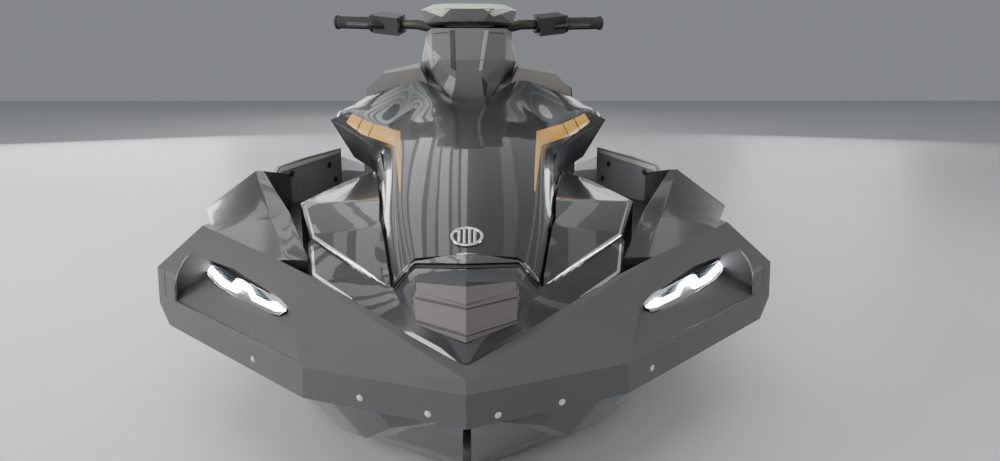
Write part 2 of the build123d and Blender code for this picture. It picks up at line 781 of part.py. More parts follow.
def make_vent_pad():
    """Keystone pad on the chin, with raised V ribs."""
    back = Vector(0, PAD_BODY, 0)
    front = [pad_point(x, z, PAD_PROUD) for x, z in PAD_CORNERS]
    half = space_loft([front, [point + back for point in front]])
    for centre, reach in PAD_RIBS:
        end = centre + RIB_RISE
        line = [(0, centre), (reach, end), (reach, end + RIB_WIDTH), (0, centre + RIB_WIDTH)]
        rises = (RIB_PROUD, RIB_PROUD, RIB_PROUD * RIB_TAPER, RIB_PROUD * RIB_TAPER)
        outer = [pad_point(x, z, PAD_PROUD + rise) for (x, z), rise in zip(line, rises)]
        inner = [pad_point(x, z, PAD_PROUD - RIB_PROUD) for x, z in line]
        half = half + space_loft([outer, inner])
    return joined(half, across(half))


def make_emblem():
    """Round emblem, square to the hatch's slope."""
    height = blend(HATCH_SECTIONS, EMBLEM_STATION, 1)
    ahead = blend(HATCH_SECTIONS, EMBLEM_STATION - 10, 1)
    slope = math.atan2(height - ahead, 10)
    normal = Vector(0, -math.sin(slope), math.cos(slope))
    centre = Vector(0, at(EMBLEM_STATION), height)
    disc = rod(centre - normal * 6, centre + normal * EMBLEM_PROUD, EMBLEM_RADIUS)
    sunk = centre + normal * (EMBLEM_PROUD - EMBLEM_DEPTH)
    inside = rod(sunk, centre + normal * 10, EMBLEM_RADIUS - EMBLEM_RIM)
    return disc - inside


def make_display():
    """Display in its housing, on the cowl behind the handlebar."""
    outline = [(station, blend(COWL_SECTIONS, station, 1) + rise) for station, rise in DISPLAY_OUTLINE]
    return side_prism(outline, DISPLAY_HALF_WIDTH)


def make_guard():
    """Upright plate between the gunwale and the hatch, port side."""
    (x0, s0), (x1, s1) = GUARD_PLAN
    length = math.hypot(x1 - x0, s1 - s0)
    back_x, back_s = (s1 - s0) / length * GUARD_WALL, (x0 - x1) / length * GUARD_WALL
    faces = []
    for depth in (0, 1):
        faces.append(
            [
                Vector(
                    x0 + (x1 - x0) * share + back_x * depth, at(s0 + (s1 - s0) * share + back_s * depth), height
                )
                for share, height in GUARD_OUTLINE
            ]
        )
    return space_loft(faces)


def make_fairing():
    """Gloss panel on the port gunwale."""
    rows = []
    for station, in_x, in_z, ridge_x, ridge_z, out_x, out_z, foot_x, foot_z in FAIRING_SECTIONS:
        floor = foot_z - 60
        outline = (
            (in_x, floor),
            (foot_x, floor),
            (foot_x, foot_z),
            (out_x, out_z),
            (ridge_x, ridge_z),
            (in_x, in_z),
        )
        rows.append((station, outline))
    return cross_loft(rows)


def make_cowl(sink=0.0):
    """Matte cowl round the steering column and glove box."""
    rows = []
    for row in COWL_SECTIONS:
        top = [(0, row[1] - sink)] + [(x, z - sink) for x, z in zip(row[2::2], row[3::2])]
        rows.append((row[0], both_sides([(0, COWL_BASE), (top[-1][0], COWL_BASE)] + top[::-1])))
    return cross_loft(rows)


def glove_outline(gap=0.0):
    """Plan shape of the glove box's lid."""
    x = GLOVE_HALF_WIDTH + gap
    low, high = GLOVE_FROM - gap, GLOVE_TO + gap
    return ((-x, low), (x, low), (x, high), (-x, high))


def glove_axis():
    """Height of the lid's hinge."""
    return blend(COWL_SECTIONS, GLOVE_PIVOT, 1) + GLOVE_PIVOT_RISE


def make_knuckle(low, high, side, way):
    """A hinge barrel with its leaf, towards the lid (way 1) or the cowl (way -1)."""
    y, z = at(GLOVE_PIVOT), glove_axis()
    low, high = sorted((side * low, side * high))
    near, far = sorted((GLOVE_PIVOT, GLOVE_PIVOT + way * KNUCKLE_LEAF))
    leaf = block(low, high, near, far, z - KNUCKLE_RADIUS, z + 1)
    return leaf + rod((low, y, z), (high, y, z), KNUCKLE_RADIUS)


def make_lid_hinges():
    """Barrels with pins on the glove box's lid."""
    y, z = at(GLOVE_PIVOT), glove_axis()
    (first, _), (low, high), (_, last) = GLOVE_KNUCKLES
    return [
        make_knuckle(low, high, side, 1) + rod((side * first, y, z), (side * last, y, z), KNUCKLE_PIN)
        for side in (1, -1)
    ]


def knuckle_room(ranges, gap):
    """The space round barrels that the other half of the hinge leaves free."""
    y, z = at(GLOVE_PIVOT), glove_axis()
    return [
        rod((side * (low - 1), y, z), (side * (high + 1), y, z), KNUCKLE_RADIUS + gap)
        for side in (1, -1)
        for low, high in ranges
    ]


def make_cowl_hinges():
    """Barrels on the cowl that carry the lid's pins."""
    y, z = at(GLOVE_PIVOT), glove_axis()
    barrels = []
    for side in (1, -1):
        for low, high in (GLOVE_KNUCKLES[0], GLOVE_KNUCKLES[2]):
            hole = rod((side * (low - 1), y, z), (side * (high + 1), y, z), KNUCKLE_PIN + BEARING_GAP)
            barrels.append(make_knuckle(low, high, side, -1) - hole)
    return barrels


def make_shroud():
    """Faceted cover of the steering column."""
    return stacked(SHROUD_SECTIONS)


def column_bore():
    """The hole for the steering column: a bearing below, a wider way above."""
    axis = column_plane().z_dir
    top = Vector(0, at(COLUMN_STATION), COLUMN_HEIGHT)
    foot = top - axis * ((COLUMN_HEIGHT - COLUMN_FOOT) / axis.Z + 1)
    middle = top - axis * ((COLUMN_HEIGHT - BEARING_TOP) / axis.Z)
    below = rod(foot, top, COLUMN_RADIUS + BEARING_GAP)
    return joined(below, rod(middle, top + axis * 20, COLUMN_RADIUS + MOVING_GAP))


def make_bin():
    """Storage tub under the hatch."""
    outer = block(-BIN_HALF_WIDTH, BIN_HALF_WIDTH, BIN_FROM, BIN_TO, BIN_FLOOR, BIN_RIM)
    inner = block(
        -BIN_HALF_WIDTH + BIN_WALL,
        BIN_HALF_WIDTH - BIN_WALL,
        BIN_FROM + BIN_WALL,
        BIN_TO - BIN_WALL,
        BIN_FLOOR + BIN_WALL,
        BIN_RIM + 50,
    )
    return outer - inner


def make_seat(sections):
    """One cushion, as a plain closed form on the pedestal's top."""
    rows = []
    for station, base_x, side_x, side_z, top_x, top_z in sections:
        base = blend(PEDESTAL_SECTIONS, station, 3) + SEAT_LIFT
        half = ((0, base), (base_x, base), (side_x, side_z), (top_x, top_z), (0, top_z - 6))
        rows.append((station, both_sides(half)))
    return cross_loft(rows)


def column_plane():
    """The steering axis: origin on the bar's middle, Z up along the column."""
    rake = math.radians(COLUMN_RAKE)
    return Plane(
        origin=(0, at(COLUMN_STATION), COLUMN_HEIGHT),
        x_dir=(1, 0, 0),
        z_dir=(0, math.sin(rake), math.cos(rake)),
    )


def above_shroud():
    """The space in which the handlebar turns, square to the column."""
    plane = column_plane()
    foot = plane.origin - plane.z_dir * (BAR_RADIUS + MOVING_GAP)
    return Solid.make_cylinder(400, 200, Plane(origin=foot, x_dir=plane.x_dir, z_dir=plane.z_dir))


def make_column():
    """Steering column, up to the bar."""
    axis = column_plane().z_dir
    top = Vector(0, at(COLUMN_STATION), COLUMN_HEIGHT)
    foot = top - axis * ((COLUMN_HEIGHT - COLUMN_FOOT) / axis.Z)
    return rod(foot, top, COLUMN_RADIUS)


def bar_points():
    """The bar's middle line from port grip end to starboard grip end."""
    y = at(COLUMN_STATION)
    z = COLUMN_HEIGHT
    end = (BAR_HALF_SPAN, y + BAR_SWEEP, z + BAR_RISE + 14)
    knee = (150, y + 16, z + BAR_RISE)
    near = (60, y, z)
    port = [end, knee, near]
    return port + [(-x, y, z) for x, y, z in reversed(port)]


def bar_place(x):
    """A point on the bar's outer run at a half width."""
    end, knee = Vector(bar_points()[0]), Vector(bar_points()[1])
    share = (abs(x) - knee.X) / (end.X - knee.X)
    point = knee + (end - knee) * share
    return Vector(math.copysign(point.X, x), point.Y, point.Z)


def make_grip(side):
    """Rubber grip with a flange."""
    inner = BAR_HALF_SPAN - GRIP_LENGTH
    bore = BAR_RADIUS + 0.05
    sleeve = rod(bar_place(side * inner), bar_place(side * (BAR_HALF_SPAN + 4)), GRIP_RADIUS)
    flange = rod(bar_place(side * inner), bar_place(side * (inner + 8)), GRIP_RADIUS + 7)
    hole = rod(bar_place(side * (inner - 10)), bar_place(side * BAR_HALF_SPAN), bore)
    return joined(sleeve, flange) - hole


def make_switch(side):
    """Switch housing on the bar, inboard of the grip."""
    outer = BAR_HALF_SPAN - GRIP_LENGTH - 2
    inner = outer - SWITCH_SIZE[0]
    middle = (bar_place(side * inner) + bar_place(side * outer)) * 0.5
    direction = bar_place(side * outer) - bar_place(side * inner)
    plane = Plane(origin=middle, x_dir=direction, z_dir=(0, -0.35, 1))
    length, depth, height = SWITCH_SIZE
    corner = middle - plane.x_dir * (length / 2) - plane.y_dir * (depth / 2) - plane.z_dir * (height / 2)
    body = Solid.make_box(length, depth, height, Plane(origin=corner, x_dir=plane.x_dir, z_dir=plane.z_dir))
    hole = rod(bar_place(side * (inner - 20)), bar_place(side * (outer + 20)), BAR_RADIUS + 0.05)
    return body - hole


def make_lever(side):
    """Hand lever in front of a grip."""
    start = bar_place(side * (BAR_HALF_SPAN - GRIP_LENGTH - 30)) + Vector(0, -20, -10)
    knee = bar_place(side * (BAR_HALF_SPAN - GRIP_LENGTH + 10)) + Vector(0, -52, -10)
    end = bar_place(side * (BAR_HALF_SPAN - 40)) + Vector(0, -40, -8)
    return tube_path([start, knee, end], 7, 20)


def stacked(sections):
    """A faceted solid from plan outlines at rising heights."""
    outlines = []
    for row in sections:
        height, points = row[0], list(zip(row[1::2], row[2::2]))
        around = points + [(-x, s) for x, s in reversed(points)]
        outlines.append([Vector(x, at(s), height) for x, s in around])
    return space_loft(outlines)


def make_bar_pad():
    """Padded cover over the bar's middle."""
    return stacked(PAD_SECTIONS)


def turned(profile):
    """A solid of revolution about the jet's axis, from (station, radius) points."""
    corners = [Vector(0, at(station), JET_HEIGHT + radius) for station, radius in profile]
    face = Face(Wire.make_polygon(corners, close=True))
    axis = Axis((0, 0, JET_HEIGHT), (0, 1, 0))
    return Solid.revolve(face, 360, axis).rotate(axis, SEAM_TURN)


def make_jet_housing():
    """Impeller housing with its flange and the guide vanes behind."""
    bore = IMPELLER_RADIUS + TIP_GAP
    flange_end = TUNNEL_FROM + 14
    whole = turned(
        (
            (TUNNEL_FROM, bore),
            (TUNNEL_FROM, bore + FLANGE_PROUD),
            (flange_end, bore + FLANGE_PROUD),
            (flange_end, bore + JET_WALL),
            (HOUSING_TO, bore + JET_WALL),
            (HOUSING_TO, bore),
        )
    )
    hub = rod((0, at(VANE_FROM - 6), JET_HEIGHT), (0, at(HOUSING_TO - 6), JET_HEIGHT), HUB_RADIUS + 6)
    bearing = SHAFT_RADIUS + BEARING_GAP
    hub = hub - rod((0, at(VANE_FROM - 20), JET_HEIGHT), (0, at(SHAFT_TO + 6), JET_HEIGHT), bearing)
    half = VANE_THICKNESS / 2
    vane = block(-half, half, VANE_FROM, HOUSING_TO - 14, JET_HEIGHT + HUB_RADIUS, JET_HEIGHT + bore + 2)
    centre = Axis((0, 0, JET_HEIGHT), (0, 1, 0))
    for turn in range(VANES):
        whole = whole + vane.rotate(centre, 360 / VANES * turn)
    return whole + hub


def make_outlet():
    """Fixed nozzle that speeds the water up, with the pins of the nozzle and the bucket."""
    bore = IMPELLER_RADIUS + TIP_GAP
    whole = turned(
        (
            (HOUSING_TO, bore),
            (HOUSING_TO, bore + JET_WALL),
            (LIP_FROM, NOZZLE_RADIUS + OUTLET_WALL),
            (LIP_TO, NOZZLE_RADIUS + OUTLET_WALL),
            (LIP_TO, NOZZLE_RADIUS),
            (LIP_FROM, NOZZLE_RADIUS),
        )
    )
    reach = STEER_BORE + NOZZLE_WALL + 10
    for side in (1, -1):
        whole = whole + rod(
            (0, at(STEER_PIVOT), JET_HEIGHT + side * (NOZZLE_RADIUS + 4)),
            (0, at(STEER_PIVOT), JET_HEIGHT + side * reach),
            PIVOT_PIN,
        )
        whole = whole + rod(
            (side * (NOZZLE_RADIUS + 4), at(BUCKET_PIVOT), JET_HEIGHT),
            (side * (BUCKET_HALF_WIDTH + 3), at(BUCKET_PIVOT), JET_HEIGHT),
            PIVOT_PIN,
        )
    return whole


def make_impeller():
    """Shaft, hub and twisted blades."""
    shaft = rod((0, at(SHAFT_FROM), JET_HEIGHT), (0, at(SHAFT_TO), JET_HEIGHT), SHAFT_RADIUS)
    hub = rod((0, at(BLADE_FROM - 10), JET_HEIGHT), (0, at(BLADE_TO + 10), JET_HEIGHT), HUB_RADIUS)
    centre = Axis((0, 0, JET_HEIGHT), (0, 1, 0))
    steps = 6
    rows = []
    for step in range(steps + 1):
        turn = math.radians(BLADE_TWIST * (step / steps - 0.5))
        station = BLADE_FROM + (BLADE_TO - BLADE_FROM) * step / steps
        outline = []
        low, high = HUB_RADIUS - 6, IMPELLER_RADIUS + 9
        for radius, thickness in ((low, -1), (high, -1), (high, 1), (low, 1)):
            x = BLADE_THICKNESS / 2 * thickness
            up, over = radius * math.cos(turn) - x * math.sin(turn), x * math.cos(turn) + radius * math.sin(turn)
            outline.append((over, JET_HEIGHT + up))
        rows.append((station, outline))
    blade = cross_loft(rows)
    swept = rod((0, at(BLADE_FROM - 5), JET_HEIGHT), (0, at(BLADE_TO + 5), JET_HEIGHT), IMPELLER_RADIUS)
    blade = blade & swept
    whole = joined(shaft, hub)
    for turn in range(BLADES):
        whole = whole + blade.rotate(centre, 360 / BLADES * turn)
    return whole


def make_steering_nozzle():
    """Nozzle that swings to steer."""
    start = STEER_PIVOT - PIVOT_PIN - 6
    whole = turned(
        (
            (start, STEER_BORE),
            (start, STEER_BORE + NOZZLE_WALL),
            (STEER_RING_TO, STEER_BORE + NOZZLE_WALL),
            (STEER_NOZZLE_TO, NOZZLE_RADIUS + NOZZLE_WALL),
            (STEER_NOZZLE_TO, NOZZLE_RADIUS),
            (STEER_RING_TO, STEER_BORE),
        )
    )
    for side in (1, -1):
        low, high = JET_HEIGHT + side * (STEER_BORE + 2), JET_HEIGHT + side * (STEER_BORE + NOZZLE_WALL + 6)
        whole = whole + rod((0, at(STEER_PIVOT), low), (0, at(STEER_PIVOT), high), PIVOT_PIN + 6)
    pivot = at(STEER_PIVOT)
    bore = rod((0, pivot, JET_HEIGHT - 120), (0, pivot, JET_HEIGHT + 120), PIVOT_PIN + BEARING_GAP)
    return whole - bore


def make_bucket():
    """Reverse bucket with its side arms, raised."""
    y = at(BUCKET_PIVOT)

    def drum(radius, half_width):
        return rod((-half_width, y, JET_HEIGHT), (half_width, y, JET_HEIGHT), radius)

    def sector(radius, half_width):
        low, high = math.radians(BUCKET_FROM_ANGLE), math.radians(BUCKET_TO_ANGLE)
        reach = radius * 2
        points = [
            (BUCKET_PIVOT, JET_HEIGHT),
            (BUCKET_PIVOT + reach * math.cos(low), JET_HEIGHT + reach * math.sin(low)),
            (BUCKET_PIVOT + reach * math.cos(high), JET_HEIGHT + reach * math.sin(high)),
        ]
        return side_prism(points, half_width) & drum(radius, half_width)

    inner = BUCKET_HALF_WIDTH - BUCKET_WALL
    solid = joined(sector(BUCKET_RADIUS, BUCKET_HALF_WIDTH), drum(BUCKET_BOSS, BUCKET_HALF_WIDTH))
    hollow = rod((-inner, y, JET_HEIGHT), (inner, y, JET_HEIGHT), BUCKET_RADIUS - BUCKET_WALL)
    return solid - hollow - drum(PIVOT_PIN + BEARING_GAP, BUCKET_HALF_WIDTH + 5)


def make_ride_plate():
    """Plate under the pump that carries on the V of the bottom."""
    return vee_plate(TUNNEL_HALF_WIDTH, RIDE_PLATE, TUNNEL_FROM, RIDE_PLATE_TO)


def make_grate():
    """Bars over the intake, which follow the bottom's V."""
    whole = vee_plate(INTAKE_HALF_WIDTH, 16, INTAKE_TO - 30, INTAKE_TO - 12, 4)
    low = HULL_SECTIONS[-1][1]
    pitch = 2 * INTAKE_HALF_WIDTH / (GRATE_BARS + 1)
    for number in range(GRATE_BARS):
        x = -INTAKE_HALF_WIDTH + pitch * (number + 1)
        foot = low + 4 + deadrise() * abs(x)
        left, right = x - GRATE_BAR / 2, x + GRATE_BAR / 2
        whole = whole + block(left, right, INTAKE_FROM + 6, INTAKE_TO - 20, foot, foot + 16)
    return whole


def make_handle():
    """Grab handle behind the seat."""
    height = PEDESTAL_SECTIONS[-1][3] - 34
    front, back = at(PLATFORM_FROM - 20), at(PLATFORM_FROM + 62)
    x = HANDLE_HALF_WIDTH
    points = [(x, front, height), (x, back, height), (-x, back, height), (-x, front, height)]
    return tube_path(points, HANDLE_RADIUS, 36)


def make_step():
    """Boarding step, folded up behind the platform."""
    x = STEP_HALF_WIDTH
    hinge, back = at(STEP_PIVOT), at(STEP_BACK)
    points = [
        (x, hinge, STEP_PIVOT_HEIGHT),
        (x, back, STEP_PIVOT_HEIGHT),
        (x, back, STEP_TOP),
        (-x, back, STEP_TOP),
        (-x, back, STEP_PIVOT_HEIGHT),
        (-x, hinge, STEP_PIVOT_HEIGHT),
    ]
    whole = tube_path(points, STEP_BAR, 40)
    for side in (1, -1):
        eye = side * x
        low, high = eye - STEP_BAR - 1, eye + STEP_BAR + 1
        whole = whole + rod((low, hinge, STEP_PIVOT_HEIGHT), (high, hinge, STEP_PIVOT_HEIGHT), STEP_BAR + 3)
        reach = BRACKET_PLATE + 4
        z = STEP_PIVOT_HEIGHT
        whole = whole + rod((low - reach, hinge, z), (high + reach, hinge, z), STEP_PIN)
    return whole


def make_step_brackets():
    """Plates under the platform that carry the step's pins."""
    hinge = at(STEP_PIVOT)
    under = blend(HULL_SECTIONS, STEP_PIVOT, 5)
    whole = []
    for side in (1, -1):
        for edge in (-1, 1):
            near = side * STEP_HALF_WIDTH + edge * (STEP_BAR + 2)
            low, high = sorted((near, near + edge * BRACKET_PLATE))
            z = STEP_PIVOT_HEIGHT
            plate = block(low, high, STEP_PIVOT - BRACKET_RADIUS, STEP_PIVOT + BRACKET_RADIUS, z, under + 10)
            plate = plate + rod((low, hinge, z), (high, hinge, z), BRACKET_RADIUS)
            hole = rod((low - 1, hinge, z), (high + 1, hinge, z), STEP_PIN + BEARING_GAP)
            whole.append(plate - hole)
    return whole


def make_eye(x, station, height, root):
    """Plate with a hole for a strap or a winch hook, on a root that runs back into the hull."""
    left, right = x - EYE_PLATE / 2, x + EYE_PLATE / 2
    plate = rod((left, at(station), height), (right, at(station), height), EYE_RADIUS)
    near, far = sorted((station, root))
    plate = plate + block(left, right, near, far, height - EYE_RADIUS, height + EYE_RADIUS)
    return plate - rod((left - 1, at(station), height), (right + 1, at(station), height), EYE_HOLE)


def make_rail():
    """Rubbing rail along the port bond line."""
    rows = []
    for station in RAIL_STATIONS:
        bond_x, bond_z = bond_outline(min(station, TRANSOM))
        x = blend(DECK_SECTIONS, station, 1)
        rows.append(
            (
                station,
                (
                    (bond_x + RAIL_ROOT[0], bond_z + RAIL_ROOT[1]),
                    (x + RAIL_PROUD + RAIL_FOOT[0], bond_z + RAIL_FOOT[1]),
                    (x + RAIL_PROUD, bond_z + RAIL_HEIGHT),
                    (x + RAIL_BACK[0], bond_z + RAIL_HEIGHT + RAIL_BACK[1]),
                ),
            )
        )
    return cross_loft(rows)


def make_sponson():
    """Stabilising fin on the port side of the hull."""
    rows = []
    end = (SPONSON_SECTIONS[0][0] + SPONSON_LENGTH, SPONSON_END_PROUD)
    for station, proud in (*SPONSON_SECTIONS, end):
        x = blend(HULL_SECTIONS, station, 2) + CHINE_FLAT
        z = blend(HULL_SECTIONS, station, 3)
        outline = [
            (x + out + (proud if index in (1, 2) else 0), z + up) for index, (out, up) in enumerate(SPONSON_PROFILE)
        ]
        rows.append((station, outline))
    return cross_loft(rows)


def largest(shape):
    """The biggest solid of a shape, without the slivers that a cut may leave."""
    return max(shape.solids(), key=lambda solid: solid.volume)


def build():
    """Makes every piece and fits each to its neighbours."""
    parts = {}
    bay, tunnel, duct = make_bay(), make_tunnel(), make_duct()
    shaft_way = rod((0, at(BAY_TO - 10), JET_HEIGHT), (0, at(TUNNEL_FROM - 100), JET_HEIGHT), SHAFT_WAY)
    bin_space = block(-BIN_HALF_WIDTH, BIN_HALF_WIDTH, BIN_FROM, BIN_TO, BIN_FLOOR, BIN_RIM + 200)
    whole_hull = make_hull()
    parts["hull"] = largest(whole_hull - bay - tunnel - duct - shaft_way - bin_space)

    footwell = make_footwell()
    envelope = make_deck()
    deck = envelope - footwell - across(footwell) - make_platform_space()
    deck = deck + make_pedestal()
    deck = largest(deck - bay - bin_space - whole_hull)
    parts["deck"] = deck

    mat = make_footwell(inset=8, floor_only=True)
    parts["footwell_mats"] = [mat, across(mat)]
    start, end, half_width = PLATFORM_MAT
    floor_rows = []
    for station in (start, end):
        floor = blend(FOOTWELL_SECTIONS, station, 3)
        top = floor + MAT_THICKNESS
        half = ((0, floor), (half_width, floor), (half_width, top), (0, top))
        floor_rows.append((station, both_sides(half)))
    parts["platform_mat"] = cross_loft(floor_rows)

    bumper = joined(make_bumper_half(1), make_bumper_half(-1))
    for side in (1, -1):
        bumper = bumper - make_pocket(side)
    bumper = largest(bumper - envelope - whole_hull)
    parts["bow_bumper"] = bumper

    hatch = make_hatch() - keystone_prism(MOVING_GAP)
    space = hatch_space() - keystone_prism(0)
    skin = make_hatch_solid()
    for lug in make_hatch_lugs():
        hatch = hatch + (lug & skin)
    hatch = largest(hatch)
    parts["hatch"] = hatch
    parts["emblem"] = largest(make_emblem() - hatch)

    chin = largest(make_chin() - space - envelope - bumper)
    parts["chin_panel"] = chin
    parts["vent_pad"] = largest(make_vent_pad() - chin)
    cheek = largest(make_cheek() - space - chin - envelope)
    parts["cheek_port"] = cheek
    parts["cheek_starboard"] = across(cheek)
    fairing = largest(make_fairing() - envelope - bumper - cheek - chin - footwell)
    parts["fairing_port"] = fairing
    parts["fairing_starboard"] = across(fairing)
    guard = largest(make_guard() - envelope - fairing - cheek)
    parts["splash_guards"] = [guard, across(guard)]
    for name, side in (("port", 1), ("starboard", -1)):
        parts["headlight_" + name] = make_headlight(side)

    cowl = make_cowl()
    skin = cowl - make_cowl(GLOVE_LID)
    lid = skin & upright_prism(glove_outline(), COWL_BASE, FOOTWELL_TOP + 200)
    cowl = cowl - (skin & upright_prism(glove_outline(MOVING_GAP), COWL_BASE, FOOTWELL_TOP + 200))
    glove_low = COWL_SECTIONS[-1][1] - GLOVE_DEPTH
    cowl = cowl - upright_prism(glove_outline(-8), glove_low, FOOTWELL_TOP + 200)
    cowl = largest(cowl - envelope - make_pedestal() - space)
    parts["dash_cowl"] = cowl
    for room in knuckle_room((GLOVE_KNUCKLES[0], GLOVE_KNUCKLES[2]), 1):
        lid = lid - room
    for hinge in make_lid_hinges():
        lid = lid + hinge
    parts["glovebox_lid"] = largest(lid)
    parts["steering_shroud"] = largest(make_shroud() - cowl - column_bore() - above_shroud())
    cowl = largest(cowl - column_bore())
    for room in knuckle_room((GLOVE_KNUCKLES[1],), MOVING_GAP):
        cowl = cowl - room
    for plate in make_hinge_plates() + make_cowl_hinges():
        cowl = cowl + plate
    parts["dash_cowl"] = largest(cowl)
    parts["display"] = largest(make_display() - cowl)
    parts["storage_bin"] = make_bin()

    bar = tube_path(bar_points(), BAR_RADIUS, 40)
    column = make_column()
    parts["steering_column"] = largest(column - bar)
    parts["handlebar"] = bar
    parts["bar_pad"] = largest(make_bar_pad() - bar - column)
    for name, side in (("port", 1), ("starboard", -1)):
        parts["grip_" + name] = make_grip(side)
        parts["switch_" + name] = make_switch(side)
    parts["reverse_lever"] = largest(make_lever(1) - parts["switch_port"])
    parts["throttle_lever"] = largest(make_lever(-1) - parts["switch_starboard"])

    parts["front_seat"] = largest(make_seat(FRONT_SEAT_SECTIONS) - deck - cowl)
    parts["rear_seat"] = largest(make_seat(REAR_SEAT_SECTIONS) - deck)
    engine = block(
        -ENGINE_WIDTH / 2, ENGINE_WIDTH / 2, ENGINE_FROM, ENGINE_TO, BAY_FLOOR, BAY_FLOOR + ENGINE_HEIGHT
    )
    bearing = SHAFT_RADIUS + BEARING_GAP
    shaft_hole = rod((0, at(SHAFT_FROM - 2), JET_HEIGHT), (0, at(ENGINE_TO + 5), JET_HEIGHT), bearing)
    parts["engine_block"] = engine - shaft_hole
    parts["jet_housing"] = make_jet_housing()
    parts["jet_outlet"] = make_outlet()
    parts["impeller"] = make_impeller()
    parts["steering_nozzle"] = make_steering_nozzle()
    parts["reverse_bucket"] = make_bucket()
    parts["ride_plate"] = make_ride_plate()
    parts["intake_grate"] = largest(make_grate() - parts["hull"])
    parts["grab_handle"] = largest(make_handle() - deck)
    parts["boarding_step"] = make_step()
    parts["step_brackets"] = [largest(bracket - deck) for bracket in make_step_brackets()]
    rail = largest(make_rail() - whole_hull - envelope - bumper)
    parts["rub_rails"] = [rail, across(rail)]
    sponson = largest(make_sponson() - whole_hull)
    parts["sponsons"] = [sponson, across(sponson)]
    parts["bow_eye"] = largest(make_eye(0, *BOW_EYE, BOW_EYE_ROOT) - whole_hull)
    station, x, height = STERN_EYE
    eye = largest(make_eye(x, station, height, TRANSOM - EYE_INSET) - whole_hull)
    parts["stern_eyes"] = [eye, across(eye)]
    return parts


def write(parts):
    """Writes one file for each piece."""
    os.makedirs("parts", exist_ok=True)
    for name, shape in parts.items():
        pieces = shape if isinstance(shape, list) else [shape]
        solids = [solid for piece in pieces for solid in piece.solids()]
        whole = solids[0] if len(solids) == 1 else Compound(children=solids)
        export_step(whole, f"parts/{name}.step")
        print(name, len(solids), round(whole.volume / 1000))


write(build())
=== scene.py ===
"""Looks of a three-seat personal watercraft around its solid model.

Every length is in metres, in the frame of the solid model: +Z up, bow towards -Y, +X to port, and the
waterline at zero. Places named in a frame of 1000 by 461 are seen from the camera.
"""

from __future__ import annotations

import json
import logging
import math
from dataclasses import dataclass, field
from enum import Enum
from typing import Callable, Iterable, Sequence

import bmesh
import bpy
from mathutils import Euler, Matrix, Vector
from mathutils.bvhtree import BVHTree

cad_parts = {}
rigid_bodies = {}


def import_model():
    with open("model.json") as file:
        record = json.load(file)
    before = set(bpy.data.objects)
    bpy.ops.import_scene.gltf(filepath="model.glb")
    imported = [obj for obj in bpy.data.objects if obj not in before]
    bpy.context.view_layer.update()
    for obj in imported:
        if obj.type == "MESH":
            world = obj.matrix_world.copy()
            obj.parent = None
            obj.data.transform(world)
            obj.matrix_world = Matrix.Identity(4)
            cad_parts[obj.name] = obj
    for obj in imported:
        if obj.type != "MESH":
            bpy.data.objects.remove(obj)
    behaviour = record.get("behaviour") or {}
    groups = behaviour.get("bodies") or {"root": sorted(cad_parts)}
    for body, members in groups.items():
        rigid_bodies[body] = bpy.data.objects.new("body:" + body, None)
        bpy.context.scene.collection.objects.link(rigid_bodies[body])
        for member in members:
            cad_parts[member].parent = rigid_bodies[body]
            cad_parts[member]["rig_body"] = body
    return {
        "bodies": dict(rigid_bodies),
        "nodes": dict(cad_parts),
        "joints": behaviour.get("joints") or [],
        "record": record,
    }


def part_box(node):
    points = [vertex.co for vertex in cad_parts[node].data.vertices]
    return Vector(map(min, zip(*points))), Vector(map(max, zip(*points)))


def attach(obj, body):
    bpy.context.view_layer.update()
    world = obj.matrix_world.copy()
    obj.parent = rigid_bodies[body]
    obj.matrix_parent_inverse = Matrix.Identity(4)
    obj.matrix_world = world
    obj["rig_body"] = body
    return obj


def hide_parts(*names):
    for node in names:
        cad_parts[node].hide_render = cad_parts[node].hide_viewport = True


LOG = logging.getLogger("watercraft")
HALF_LENGTH = 1.790
MERGE = 2e-5
MILLI = 0.001
SIDES = (1, -1)
SIDE_NAMES = {1: "port", -1: "starboard"}
STRIP_ANGLE = 40.0
PANEL_ROOT = 0.001
FLAT_ANGLE = 0.6

Point = tuple[float, float, float]
Colour = tuple[float, float, float]
Outline = tuple[tuple[float, float], ...]
Edges = tuple[Outline, Outline]
Profile = tuple[tuple[float, float], ...]


def at(station: float) -> float:
    """The Y place of a station, a distance behind the tip of the bow."""
    return station - HALF_LENGTH


# Shader nodes


